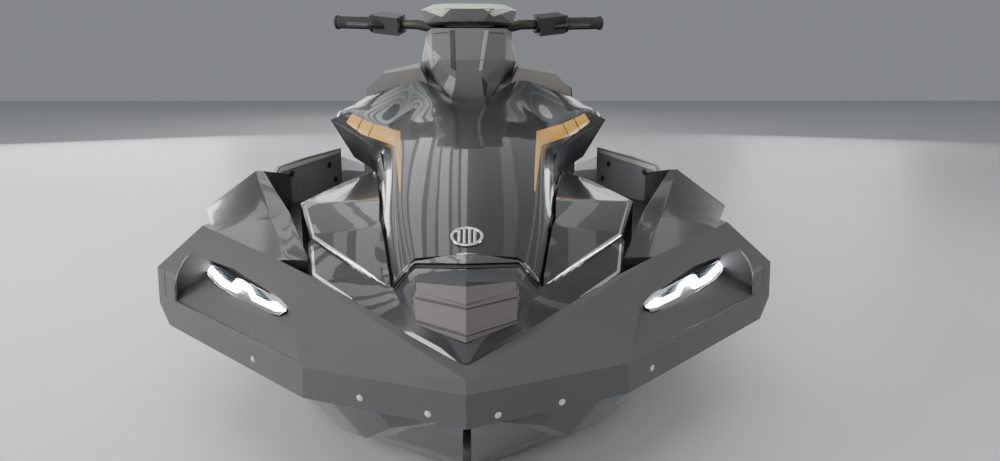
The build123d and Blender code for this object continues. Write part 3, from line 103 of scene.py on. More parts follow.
class Wire:
    """A shader socket that takes part in Python expressions."""

    def __init__(self, shader: Shader, socket: bpy.types.NodeSocket) -> None:
        """Keeps the socket and the shader that it belongs to."""
        self.shader = shader
        self.socket = socket

    def _math(self, operation: str, *others: Wire | float) -> Wire:
        """A Math node on this value and others.

        Args:
            operation: the Math node's operation.
            others: the other operands, in order.

        Returns:
            The node's result.
        """
        sockets = dict(enumerate((self, *others)))
        return self.shader.node("ShaderNodeMath", {"operation": operation}, sockets)

    def __add__(self, other: Wire | float) -> Wire:
        """Sum."""
        return self._math("ADD", other)

    def __sub__(self, other: Wire | float) -> Wire:
        """Difference."""
        return self._math("SUBTRACT", other)

    def __rsub__(self, other: float) -> Wire:
        """A number less this value."""
        return self.shader.node("ShaderNodeMath", {"operation": "SUBTRACT"}, {0: other, 1: self})

    def __mul__(self, other: Wire | float) -> Wire:
        """Product."""
        return self._math("MULTIPLY", other)

    def __pow__(self, other: float) -> Wire:
        """Power."""
        return self._math("POWER", other)

    def size(self) -> Wire:
        """The value without its sign."""
        return self._math("ABSOLUTE")

    def fraction(self) -> Wire:
        """What is left over a whole number."""
        return self._math("FRACT")

    def ease(self, low: float, high: float) -> Wire:
        """A smooth step from 0 at low to 1 at high."""
        settings = {"interpolation_type": "SMOOTHSTEP"}
        sockets = {"Value": self, "From Min": low, "From Max": high, "To Min": 0.0, "To Max": 1.0}
        return self.shader.node("ShaderNodeMapRange", settings, sockets, "Result")


class Shader:
    """One material and the nodes that make it."""

    def __init__(self, name: str) -> None:
        """Starts a material with one principled shader."""
        self.material = bpy.data.materials.new(name)
        self.material.use_nodes = True
        self.tree = self.material.node_tree
        self.tree.nodes.clear()
        self.body = self.tree.nodes.new("ShaderNodeBsdfPrincipled")
        output = self.tree.nodes.new("ShaderNodeOutputMaterial")
        self.tree.links.new(self.body.outputs["BSDF"], output.inputs["Surface"])

    def node(
        self,
        kind: str,
        settings: dict[str, object] | None = None,
        sockets: dict[str | int, object] | None = None,
        result: str | int = 0,
    ) -> Wire:
        """Adds a node.

        Args:
            kind: the node's type.
            settings: its settings.
            sockets: values or wires for its inputs.
            result: the output that is wanted.

        Returns:
            The output as a wire.
        """
        node = self.tree.nodes.new(kind)
        for key, value in (settings or {}).items():
            setattr(node, key, value)
        for key, value in (sockets or {}).items():
            self.feed(node.inputs[key], value)
        return Wire(self, node.outputs[result])

    def feed(self, socket: bpy.types.NodeSocket, value: object) -> None:
        """Links a wire to a socket, or sets the socket's own value."""
        if isinstance(value, Wire):
            self.tree.links.new(value.socket, socket)
        elif isinstance(value, tuple) and len(value) == 3 and socket.type == "RGBA":
            socket.default_value = (*value, 1.0)
        else:
            socket.default_value = value

    def set(self, **values: object) -> None:
        """Feeds the principled shader's inputs, named with underscores for spaces."""
        for key, value in values.items():
            self.feed(self.body.inputs[key.replace("_", " ")], value)

    def place(self) -> Wire:
        """Object coordinates, in metres."""
        return self.node("ShaderNodeTexCoord", result="Object")

    def axes(self, place: Wire) -> tuple[Wire, Wire, Wire]:
        """The three coordinates of a place."""
        split = self.node("ShaderNodeSeparateXYZ", sockets={0: place}, result="X")
        outputs = split.socket.node.outputs
        return split, Wire(self, outputs["Y"]), Wire(self, outputs["Z"])

    def noise(self, place: Wire, size: float, detail: float = 3.0, roughness: float = 0.5) -> Wire:
        """Noise whose features are about a size across."""
        sockets = {"Vector": place, "Scale": 1.0 / size, "Detail": detail, "Roughness": roughness}
        return self.node("ShaderNodeTexNoise", sockets=sockets, result="Fac")

    def stretched(self, place: Wire, scale: Point) -> Wire:
        """A place scaled about the origin."""
        return self.node("ShaderNodeMapping", sockets={"Vector": place, "Scale": scale})

    def mix(self, share: Wire | float, low: object, high: object) -> Wire:
        """A blend of two colours."""
        node = self.tree.nodes.new("ShaderNodeMix")
        node.data_type = "RGBA"
        self.feed(node.inputs[0], share)
        self.feed(node.inputs[6], low)
        self.feed(node.inputs[7], high)
        return Wire(self, node.outputs[2])

    def relief(self, height: Wire, depth: float, strength: float = 1.0) -> None:
        """Feeds the shader's normal from a height."""
        sockets = {"Height": height, "Distance": depth, "Strength": strength}
        self.set(Normal=self.node("ShaderNodeBump", sockets=sockets, result="Normal"))


# Finishes


@dataclass(frozen=True)
class Finish:
    """A finish: colour, gloss, grain and unevenness."""

    slot: str
    colour: Colour
    roughness: float
    metallic: float = 0.0
    coat: float = 0.0
    coat_roughness: float = 0.02
    grain: float = 0.0
    grain_depth: float = 0.0
    mottle: float = 0.12
    mottle_size: float = 0.12
    haze: float = 0.08

    def dress(self, shader: Shader) -> None:
        """Sets the shader up."""
        place = shader.place()
        broad = shader.noise(place, self.mottle_size, 4.0)
        fine = shader.noise(place, self.mottle_size / 9.0, 3.0)
        uneven = broad * 0.65 + fine * 0.35
        dark = tuple(value * (1.0 - self.mottle) for value in self.colour)
        light = tuple(value * (1.0 + self.mottle) for value in self.colour)
        colour = shader.mix(uneven, dark, light)
        rough = uneven * self.haze + (self.roughness - self.haze / 2.0)
        shader.set(Base_Color=colour, Roughness=rough, Metallic=self.metallic)
        shader.set(Coat_Weight=self.coat, Coat_Roughness=self.coat_roughness)
        if self.grain:
            cells = shader.noise(place, self.grain, 4.0, 0.6)
            shader.relief(cells, self.grain_depth, 0.6)


@dataclass(frozen=True)
class Moulded(Finish):
    """Matte moulded plastic with a fine even grain."""

    grain: float = 0.0011
    grain_depth: float = 0.0002
    mottle: float = 0.08


@dataclass(frozen=True)
class Satin(Finish):
    """Dark moulded plastic with a finer grain."""

    grain: float = 0.0009
    grain_depth: float = 0.00018


@dataclass(frozen=True)
class ClearCoated(Finish):
    """Black paint with fine metal flakes under a deep clear coat."""

    coat: float = 1.0
    flake: float = 0.0009
    flake_edge: float = 0.32
    flake_share: float = 0.55
    flake_gain: float = 2.6
    ripple: float = 0.038
    ripple_depth: float = 0.0005

    def dress(self, shader: Shader) -> None:
        """Sets the shader up."""
        super().dress(shader)
        place = shader.place()
        sockets = {"Vector": place, "Scale": 1.0 / self.flake}
        flakes = shader.node("ShaderNodeTexVoronoi", sockets=sockets, result="Distance")
        bright = (1.0 - flakes.ease(0.0, self.flake_edge)) * self.flake_share
        light = tuple(value * self.flake_gain + 0.006 for value in self.colour)
        shader.set(Base_Color=shader.mix(bright, self.colour, light))
        shader.relief(shader.noise(place, self.ripple, 2.0), self.ripple_depth, 0.5)


@dataclass(frozen=True)
class Metal(Finish):
    """Bare metal with fine marks along one direction."""

    marks: Point = (1.0, 0.05, 1.0)
    mark_size: float = 0.0012
    mark_depth: float = 0.00012

    def dress(self, shader: Shader) -> None:
        """Sets the shader up."""
        super().dress(shader)
        place = shader.stretched(shader.place(), self.marks)
        lines = shader.noise(place, self.mark_size, 4.0, 0.6)
        shader.set(Roughness=lines * 0.22 + (self.roughness - 0.1))
        shader.relief(lines, self.mark_depth, 0.35)


@dataclass(frozen=True)
class Ribbed(Finish):
    """Foam mat with a diamond pattern of grooves, darkened in the grooves as painted shade."""

    pitch: float = 0.018
    slant: float = 0.55
    groove_depth: float = 0.0022
    grain_size: float = 0.0025

    def dress(self, shader: Shader) -> None:
        """Sets the shader up."""
        super().dress(shader)
        x, y, _ = shader.axes(shader.place())
        scale = 1.0 / self.pitch
        first = ((x * scale + y * (scale * self.slant)).fraction() - 0.5).size()
        second = ((x * scale - y * (scale * self.slant)).fraction() - 0.5).size()
        lines = shader.node("ShaderNodeMath", {"operation": "MAXIMUM"}, {0: first, 1: second})
        groove = lines.ease(0.36, 0.47)
        grain = shader.noise(shader.place(), self.grain_size, 3.0)
        # Painted shade: the grooves are darkened in colour to stand for the shade that falls in them.
        dark = tuple(value * 0.35 for value in self.colour)
        shader.set(Base_Color=shader.mix(groove, self.colour, dark))
        shader.relief(grain * 0.12 - groove, self.groove_depth, 0.9)


@dataclass(frozen=True)
class Grained(Finish):
    """Vinyl cover with a leather grain."""

    cell: float = 0.0032
    crease_depth: float = 0.0004

    def dress(self, shader: Shader) -> None:
        """Sets the shader up."""
        super().dress(shader)
        place = shader.place()
        bent = shader.noise(place, 0.012, 2.0) * 0.004
        sockets = {0: place, 1: bent}
        moved = shader.node("ShaderNodeVectorMath", {"operation": "ADD"}, sockets)
        settings = {"feature": "DISTANCE_TO_EDGE"}
        sockets = {"Vector": moved, "Scale": 1.0 / self.cell}
        cells = shader.node("ShaderNodeTexVoronoi", settings, sockets, "Distance")
        crease = cells.ease(0.0, 0.22)
        worn = shader.noise(place, 0.09, 4.0).ease(0.35, 0.7)
        shader.set(Roughness=worn * 0.16 + (self.roughness - 0.08) + (1.0 - crease) * 0.08)
        shader.relief(crease + shader.noise(place, 0.05, 3.0) * 0.5, self.crease_depth, 0.7)


@dataclass(frozen=True)
class Glow(Finish):
    """A lit diffuser."""

    strength: float = 42.0
    cells: float = 120.0

    def dress(self, shader: Shader) -> None:
        """Sets the shader up."""
        x, _, _ = shader.axes(shader.place())
        cells = ((x.size() * self.cells).fraction() - 0.5).size().ease(0.1, 0.5)
        lit = shader.mix(cells, (0.93, 0.96, 1.0), (0.8, 0.88, 1.0))
        shader.set(Base_Color=self.colour, Roughness=self.roughness, Emission_Color=lit)
        shader.set(Emission_Strength=self.strength)


@dataclass(frozen=True)
class Clear(Finish):
    """Clear moulded plastic."""

    alpha: float = 0.03

    def dress(self, shader: Shader) -> None:
        """Sets the shader up."""
        super().dress(shader)
        facing = shader.node("ShaderNodeLayerWeight", sockets={"Blend": 0.35}, result="Facing")
        shader.set(Alpha=facing ** 4.0 * 0.5 + self.alpha)
        shader.material.surface_render_method = "BLENDED"


@dataclass(frozen=True)
class Tiles(Finish):
    """Plain pale floor with a faint unevenness."""

    def dress(self, shader: Shader) -> None:
        """Sets the shader up."""
        place = shader.place()
        uneven = shader.noise(place, 1.3, 4.0)
        low = tuple(value * 0.97 for value in self.colour)
        shader.set(Base_Color=shader.mix(uneven, low, self.colour), Roughness=uneven * 0.08 + self.roughness)


class Coat(Enum):
    """The finishes of the craft."""

    GELCOAT = ClearCoated("hull_gelcoat", (0.012, 0.012, 0.013), 0.32, coat_roughness=0.04)
    DECK = Finish(
        "deck_plastic", (0.022, 0.022, 0.024), 0.42,
        coat=0.25, coat_roughness=0.25, grain=0.0012, grain_depth=0.0002,
    )
    GREY = Moulded("grey_plastic", (0.072, 0.068, 0.067), 0.48, grain_depth=0.00022, mottle=0.1, haze=0.1)
    PAD = Moulded("grey_plastic", (0.115, 0.105, 0.100), 0.5)
    SHROUD = Moulded("grey_plastic", (0.125, 0.120, 0.120), 0.46)
    COWL = Moulded("grey_plastic", (0.155, 0.148, 0.140), 0.5)
    # Painted highlight: a pale coat for strips and faces that stand for light on the guard rims and the bar
    # pad
    PALE_HIGHLIGHT = Moulded("grey_plastic", (0.62, 0.61, 0.58), 0.5, mottle=0.05, haze=0.06)
    # Painted highlight: a light grey for strips on the lit facets of the steering shroud
    FACET_HIGHLIGHT = Moulded("grey_plastic", (0.30, 0.30, 0.31), 0.46)
    PIN = Finish("grey_plastic", (0.55, 0.55, 0.54), 0.4, mottle=0.05)
    GLOSS = ClearCoated("gloss_black", (0.0065, 0.0065, 0.007), 0.3, coat_roughness=0.012, haze=0.04)
    SIDE = ClearCoated(
        "gloss_black", (0.0065, 0.0065, 0.007), 0.3, coat_roughness=0.09, haze=0.04, ripple=0.2
    )
    GOLD = Finish(
        "gloss_black", (0.66, 0.36, 0.06), 0.4, metallic=0.2, coat=0.5, coat_roughness=0.08, mottle=0.05
    )
    BLACK = Satin("black_plastic", (0.018, 0.018, 0.019), 0.44)
    GUARD = Satin("black_plastic", (0.25, 0.253, 0.263), 0.40)
    SHADE = Satin("black_plastic", (0.030, 0.030, 0.031), 0.55)
    LIVELY = Finish("black_plastic", (0.02, 0.22, 0.07), 0.4, mottle=0.06)
    LENS = Clear("lamp_glass", (0.02, 0.022, 0.026), 0.04, coat=1.0, mottle=0.0, haze=0.0)
    LED = Glow("lamp_glass", (0.9, 0.93, 1.0), 0.3)
    TRAY = Finish("lamp_glass", (0.012, 0.013, 0.016), 0.14, coat=0.6, mottle=0.05)
    REFLECTOR = Finish("lamp_glass", (0.045, 0.052, 0.066), 0.3, metallic=0.4, mottle=0.1)
    RUBBER = Finish("rubber", (0.016, 0.016, 0.016), 0.62, grain=0.0008, grain_depth=0.0003)
    FOAM = Ribbed("mat_foam", (0.045, 0.045, 0.047), 0.78)
    VINYL = Grained("vinyl", (0.024, 0.024, 0.026), 0.46)
    ALUMINIUM = Metal("aluminium", (0.52, 0.53, 0.54), 0.34, metallic=1.0)
    STAINLESS = Metal("stainless", (0.66, 0.66, 0.67), 0.2, metallic=1.0)
    CHROME = Finish("chrome_trim", (0.78, 0.78, 0.78), 0.1, metallic=1.0, mottle=0.03, haze=0.05)
    DARK_METAL = Finish("chrome_trim", (0.05, 0.05, 0.05), 0.35, metallic=0.6)
    SCREEN = Finish("screen", (0.012, 0.014, 0.018), 0.08, coat=1.0, mottle=0.05, haze=0.02)
    IRON = Finish("iron", (0.16, 0.16, 0.165), 0.5, metallic=0.7, grain=0.003, grain_depth=0.0006)
    FLOOR = Tiles("floor", (0.60, 0.61, 0.62), 0.42)

    def material(self) -> bpy.types.Material:
        """The material, made the first time it is asked for."""
        known = bpy.data.materials.get(self.name.lower())
        if known:
            return known
        shader = Shader(self.name.lower())
        self.value.dress(shader)
        return shader.material


# Meshes


def spot(x: float, station: float, height: float) -> Point:
    """A place in metres from millimetres, a station standing for Y."""
    return x * MILLI, at(station * MILLI), height * MILLI


def along(points: Sequence[Sequence[float]], share: float) -> Vector:
    """A point of a polyline.

    Args:
        points: the polyline.
        share: how far along its length, from 0 to 1.

    Returns:
        The point.
    """
    line = [Vector(point) for point in points]
    steps = [(b - a).length for a, b in zip(line, line[1:])]
    left = share * sum(steps)
    for start, end, step in zip(line, line[1:], steps):
        if left <= step:
            return start.lerp(end, left / step)
        left -= step
    return line[-1]


def between(rows: Sequence[Sequence[Point]], steps: int) -> list[list[Vector]]:
    """Rows with smooth rows added between them.

    Args:
        rows: the known rows, whose columns each follow one even curve.
        steps: how many steps each gap becomes.

    Returns:
        All rows, the known ones included.
    """
    full = [[Vector(point) for point in row] for row in rows]
    padded = [full[0], *full, full[-1]]
    result = []
    for before, start, end, after in zip(padded, padded[1:], padded[2:], padded[3:]):
        for step in range(steps):
            t = step / steps
            row = []
            for a, b, c, d in zip(before, start, end, after):
                bend = (c - a) * (t * (1 - t) ** 2) / 2 - (d - b) * (t * t * (1 - t)) / 2
                row.append(b.lerp(c, t * t * (3 - 2 * t)) + bend)
            result.append(row)
    return [*result, full[-1]]


def lattice(rows: Sequence[Sequence[Sequence[float]]]) -> bmesh.types.BMesh:
    """A grid whose points are moved to rows of places.

    Args:
        rows: the places, as many in each row.

    Returns:
        The open sheet.
    """
    mesh = bmesh.new()
    columns, lines = len(rows[0]) - 1, len(rows) - 1
    bmesh.ops.create_grid(mesh, x_segments=columns, y_segments=lines, size=0.5)
    for vert in mesh.verts:
        column = round((vert.co.x + 0.5) * columns)
        row = round((vert.co.y + 0.5) * lines)
        vert.co = rows[row][column]
    return mesh


def face_outwards(mesh: bmesh.types.BMesh, outwards: Sequence[float]) -> bmesh.types.BMesh:
    """Turns an open sheet's faces one way.

    Args:
        mesh: the sheet.
        outwards: the direction that its faces on the whole look along afterwards.

    Returns:
        The same sheet.
    """
    bmesh.ops.recalc_face_normals(mesh, faces=mesh.faces)
    mean = sum((face.normal * face.calc_area() for face in mesh.faces), Vector())
    if mean.dot(Vector(outwards)) < 0.0:
        bmesh.ops.reverse_faces(mesh, faces=mesh.faces)
    return mesh


def mirrored(mesh: bmesh.types.BMesh) -> bmesh.types.BMesh:
    """The same shape on the other side of the centreline."""
    bmesh.ops.scale(mesh, vec=(-1.0, 1.0, 1.0), verts=mesh.verts)
    bmesh.ops.reverse_faces(mesh, faces=mesh.faces)
    return mesh


def turned(
    profile: Sequence[tuple[float, float]], start: Vector, end: Vector, steps: int = 24
) -> bmesh.types.BMesh:
    """A round piece along a line.

    Args:
        profile: distance from the start and radius of each corner.
        start: where the axis starts.
        end: a point further along the axis.
        steps: faces round it.

    Returns:
        The closed shape.
    """
    axis = (end - start).normalized()
    out = axis.orthogonal().normalized()
    mesh = bmesh.new()
    verts = [mesh.verts.new(start + axis * place + out * radius) for place, radius in profile]
    edges = [mesh.edges.new(pair) for pair in zip(verts, verts[1:])]
    bmesh.ops.spin(
        mesh, geom=[*verts, *edges], cent=start, axis=axis, angle=math.tau, steps=steps, use_merge=True
    )
    bmesh.ops.remove_doubles(mesh, verts=mesh.verts, dist=MERGE)
    bmesh.ops.recalc_face_normals(mesh, faces=mesh.faces)
    return mesh


def plate(corners: Sequence[Vector], depth: Vector) -> bmesh.types.BMesh:
    """A flat outline with a thickness.

    Args:
        corners: the outline.
        depth: the way and the length by which it is extruded.

    Returns:
        The closed shape.
    """
    mesh = bmesh.new()
    face = mesh.faces.new([mesh.verts.new(corner) for corner in corners])
    grown = bmesh.ops.extrude_face_region(mesh, geom=[face])
    moved = [item for item in grown["geom"] if isinstance(item, bmesh.types.BMVert)]
    bmesh.ops.translate(mesh, vec=depth, verts=moved)
    bmesh.ops.recalc_face_normals(mesh, faces=mesh.faces)
    return mesh


def baked(piece: bpy.types.Object) -> bmesh.types.BMesh:
    """A piece's shape with its modifiers applied, as a new bmesh."""
    graph = bpy.context.evaluated_depsgraph_get()
    data = bpy.data.meshes.new_from_object(piece.evaluated_get(graph))
    mesh = bmesh.new()
    mesh.from_mesh(data)
    bpy.data.meshes.remove(data)
    return mesh


def new_piece(name: str, mesh: bmesh.types.BMesh, coat: Coat, smooth: bool = True) -> bpy.types.Object:
    """An object from a bmesh.

    Args:
        name: the piece's name.
        mesh: its shape, freed afterwards.
        coat: its finish.
        smooth: whether its faces are shaded smooth.

    Returns:
        The object, linked to the scene.
    """
    data = bpy.data.meshes.new(name)
    for face in mesh.faces:
        face.smooth = smooth
    mesh.to_mesh(data)
    mesh.free()
    piece = bpy.data.objects.new(name, data)
    bpy.context.scene.collection.objects.link(piece)
    data.materials.append(coat.material())
    return piece


def soften(piece: bpy.types.Object, width: float, segments: int = 2, angle: float = 24.0) -> bpy.types.Object:
    """Rounds a piece's edges and evens its shading.

    Args:
        piece: the object.
        width: width of the rounding.
        segments: faces across it.
        angle: edges sharper than this many degrees are rounded.

    Returns:
        The same object.
    """
    bevel = piece.modifiers.new("edges", "BEVEL")
    bevel.width = width
    bevel.segments = segments
    bevel.limit_method = "ANGLE"
    bevel.angle_limit = math.radians(angle)
    bevel.miter_outer = "MITER_ARC"
    normals = piece.modifiers.new("shading", "WEIGHTED_NORMAL")
    normals.keep_sharp = True
    return piece


def thicken(piece: bpy.types.Object, wall: float) -> bpy.types.Object:
    """Gives a sheet a wall of some thickness behind its outer face, and returns it."""
    solid = piece.modifiers.new("wall", "SOLIDIFY")
    solid.thickness = wall
    solid.offset = -1.0
    return piece


def subdivide(piece: bpy.types.Object, levels: int) -> bpy.types.Object:
    """Adds a subdivision surface of some levels, and returns the piece."""
    surface = piece.modifiers.new("curve", "SUBSURF")
    surface.levels = levels
    surface.render_levels = levels
    return piece


def finish_piece(piece: bpy.types.Object, body: str, coat: Coat, *nodes: str) -> bpy.types.Object:
    """Puts a piece on its body and hides the nodes that it stands for.

    Args:
        piece: the object.
        body: the body that it rides.
        coat: not used.
        nodes: the nodes of the solid model that it replaces.

    Returns:
        The same object.
    """
    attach(piece, body)
    if nodes:
        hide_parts(*nodes)
    LOG.info("%s rides on %s", piece.name, body)
    return piece


@dataclass(frozen=True)
class Sight:
    """The camera, which also places small parts by where they are seen in its frame."""

    focal: float = 26.064
    sensor: float = 36.0
    eye: Point = (0.015, -2.690, 0.647)
    pitch: float = 11.29
    yaw: float = 1.95
    frame: tuple[float, float] = (1000.0, 461.0)
    arm: float = 1.5

    def turn(self) -> Euler:
        """The camera's rotation."""
        return Euler((math.radians(90.0 - self.pitch), 0.0, math.radians(-self.yaw)))

    def ray(self, x: float, y: float) -> Vector:
        """The direction from the camera through a place in the frame."""
        width, height = self.frame
        reach = self.focal / self.sensor * width
        way = Vector(((x - width / 2) / reach, (height / 2 - y) / reach, -1.0))
        way.rotate(self.turn())
        return way.normalized()

    def on_plane(self, x: float, y: float, origin: Vector, normal: Vector) -> Vector:
        """Where the line of sight through a place in the frame meets a plane.

        Args:
            x: place across the frame.
            y: place down the frame.
            origin: a point of the plane.
            normal: the plane's normal.

        Returns:
            The place.
        """
        eye, way = Vector(self.eye), self.ray(x, y)
        return eye + way * ((origin - eye).dot(normal) / way.dot(normal))

    def on_piece(self, tree: BVHTree, x: float, y: float) -> tuple[Vector, Vector]:
        """Where a line of sight meets a piece, or comes nearest to it.

        Args:
            tree: the piece's surface.
            x: place across the frame.
            y: place down the frame.

        Returns:
            The place and the surface's normal there.
        """
        eye, way = Vector(self.eye), self.ray(x, y)
        place, normal, _, _ = tree.ray_cast(eye, way)
        if place is None:
            near, _, _, _ = tree.find_nearest(eye + way * self.arm)
            place, normal, _, _ = tree.find_nearest(eye + way * (near - eye).dot(way))
        return place, normal


def laid(sight: Sight, tree: BVHTree, edges: Edges, cells: int, lift: float) -> list[list[Vector]]:
    """Rows of places on a piece's surface.

    Args:
        sight: the camera.
        tree: the surface.
        edges: two lines in the camera's frame, between which the rows lie.
        cells: how many cells each row and column has.
        lift: how far the places stand off the surface.

    Returns:
        The rows, from the first edge to the second.
    """
    lines = [[(*point, 0.0) for point in edge] for edge in edges]
    rows = []
    for step in range(cells + 1):
        row = []
        for place in range(cells + 1):
            x, y, _ = along(lines[0], place / cells).lerp(along(lines[1], place / cells), step / cells)
            met, normal = sight.on_piece(tree, x, y)
            row.append(met + normal * lift)
        rows.append(row)
    return rows


def from_middle(rows: list[list[Vector]]) -> list[list[Vector]]:
    """The same rows, with the first place of each moved onto the centreline."""
    for row in rows:
        row[0].x = 0.0
    return rows


def both_sides(
    rows: list[list[Vector]],
    name: str,
    coat: Coat,
    body: str,
    wall: float,
    outwards: Point,
    edge: float = 0.0002,
    segments: int = 1,
) -> None:
    """A thin strip drawn on one side of the craft, and its mirror image on the other.

    Args:
        rows: places on the drawn side, from one long edge to the other.
        name: the strip's name, to which the side's is added.
        coat: its finish.
        body: the body that it rides.
        wall: its thickness.
        outwards: the direction that its outer face looks along.
        edge: width of its rounded edges.
        segments: faces across the rounding.
    """
    drawn = math.copysign(1.0, rows[0][-1].x)
    for side, label in SIDE_NAMES.items():
        mesh = face_outwards(lattice(rows), outwards)
        piece = new_piece(f"{name}_{label}", mesh if side * drawn > 0 else mirrored(mesh), coat)
        soften(thicken(piece, wall), edge, segments, STRIP_ANGLE)
        finish_piece(piece, body, coat)


def tree_of(piece: bpy.types.Object) -> BVHTree:
    """A piece's finished surface, for lines of sight."""
    return BVHTree.FromObject(piece, bpy.context.evaluated_depsgraph_get())


class Craft:
    """The loaded frame and the ways in which pieces are made from it."""

    def __init__(self, frame: dict) -> None:
        """Keeps the frame's nodes and the body of each."""
        self.nodes = frame["nodes"]
        self.bodies = {name: node["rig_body"] for name, node in self.nodes.items()}

    def copied(self, node: str) -> bmesh.types.BMesh:
        """A node's shape, merged, with flat faces made whole.

        Args:
            node: the solid's node.

        Returns:
            The shape.
        """
        mesh = bmesh.new()
        mesh.from_mesh(self.nodes[node].data)
        bmesh.ops.remove_doubles(mesh, verts=mesh.verts, dist=MERGE)
        limit = math.radians(FLAT_ANGLE)
        bmesh.ops.dissolve_limit(mesh, angle_limit=limit, verts=mesh.verts, edges=mesh.edges)
        return mesh

    def skin(
        self, node: str, coat: Coat, width: float = 0.003, segments: int = 2, angle: float = 24.0
    ) -> bpy.types.Object:
        """A piece with a node's shape and rounded edges, which stands for the node.

        Args:
            node: the solid's node.
            coat: the piece's finish.
            width: width of the rounding.
            segments: faces across it.
            angle: edges sharper than this many degrees are rounded.

        Returns:
            The piece.
        """
        piece = new_piece(node + "_skin", self.copied(node), coat)
        soften(piece, width, segments, angle)
        return finish_piece(piece, self.bodies[node], coat, node)

    def panel(
        self,
        node: str,
        name: str,
        coat: Coat,
        chosen: Callable[[bmesh.types.BMFace], bool],
        lift: float,
        margin: float,
    ) -> bpy.types.Object:
        """A thin panel over some of a node's faces.

        Args:
            node: the solid's node.
            name: the panel's name.
            coat: its finish.
            chosen: says whether a face is covered.
            lift: how far the panel stands off the faces.
            margin: how far its edge stays inside theirs.

        Returns:
            The panel.
        """
        mesh = self.copied(node)
        bmesh.ops.delete(mesh, geom=[face for face in mesh.faces if not chosen(face)], context="FACES")
        if margin:
            edge = bmesh.ops.inset_region(mesh, faces=mesh.faces[:], thickness=margin, use_boundary=True)
            bmesh.ops.delete(mesh, geom=edge["faces"], context="FACES")
        mesh.normal_update()
        for vert in mesh.verts:
            vert.co += vert.normal * lift
        piece = thicken(new_piece(name, mesh, coat), lift + PANEL_ROOT)
        soften(piece, width=0.001, segments=2, angle=14.0)
        return finish_piece(piece, self.bodies[node], coat)

    def dressed(self, node: str, coat: Coat) -> None:
        """Gives a node that stays as it is its finish."""
        data = self.nodes[node].data
        data.materials.clear()
        data.materials.append(coat.material())

    def ends(self, node: str) -> tuple[Vector, Vector]:
        """The middles of a straight node's inner and outer ends."""
        mesh = self.copied(node)
        reach = sorted((vert.co.copy() for vert in mesh.verts), key=lambda place: abs(place.x))
        mesh.free()
        middle = (abs(reach[0].x) + abs(reach[-1].x)) / 2
        halves = [[p for p in reach if (abs(p.x) > middle) is outer] for outer in (False, True)]
        return tuple(sum(half, Vector()) / len(half) for half in halves)


# Sub-assemblies


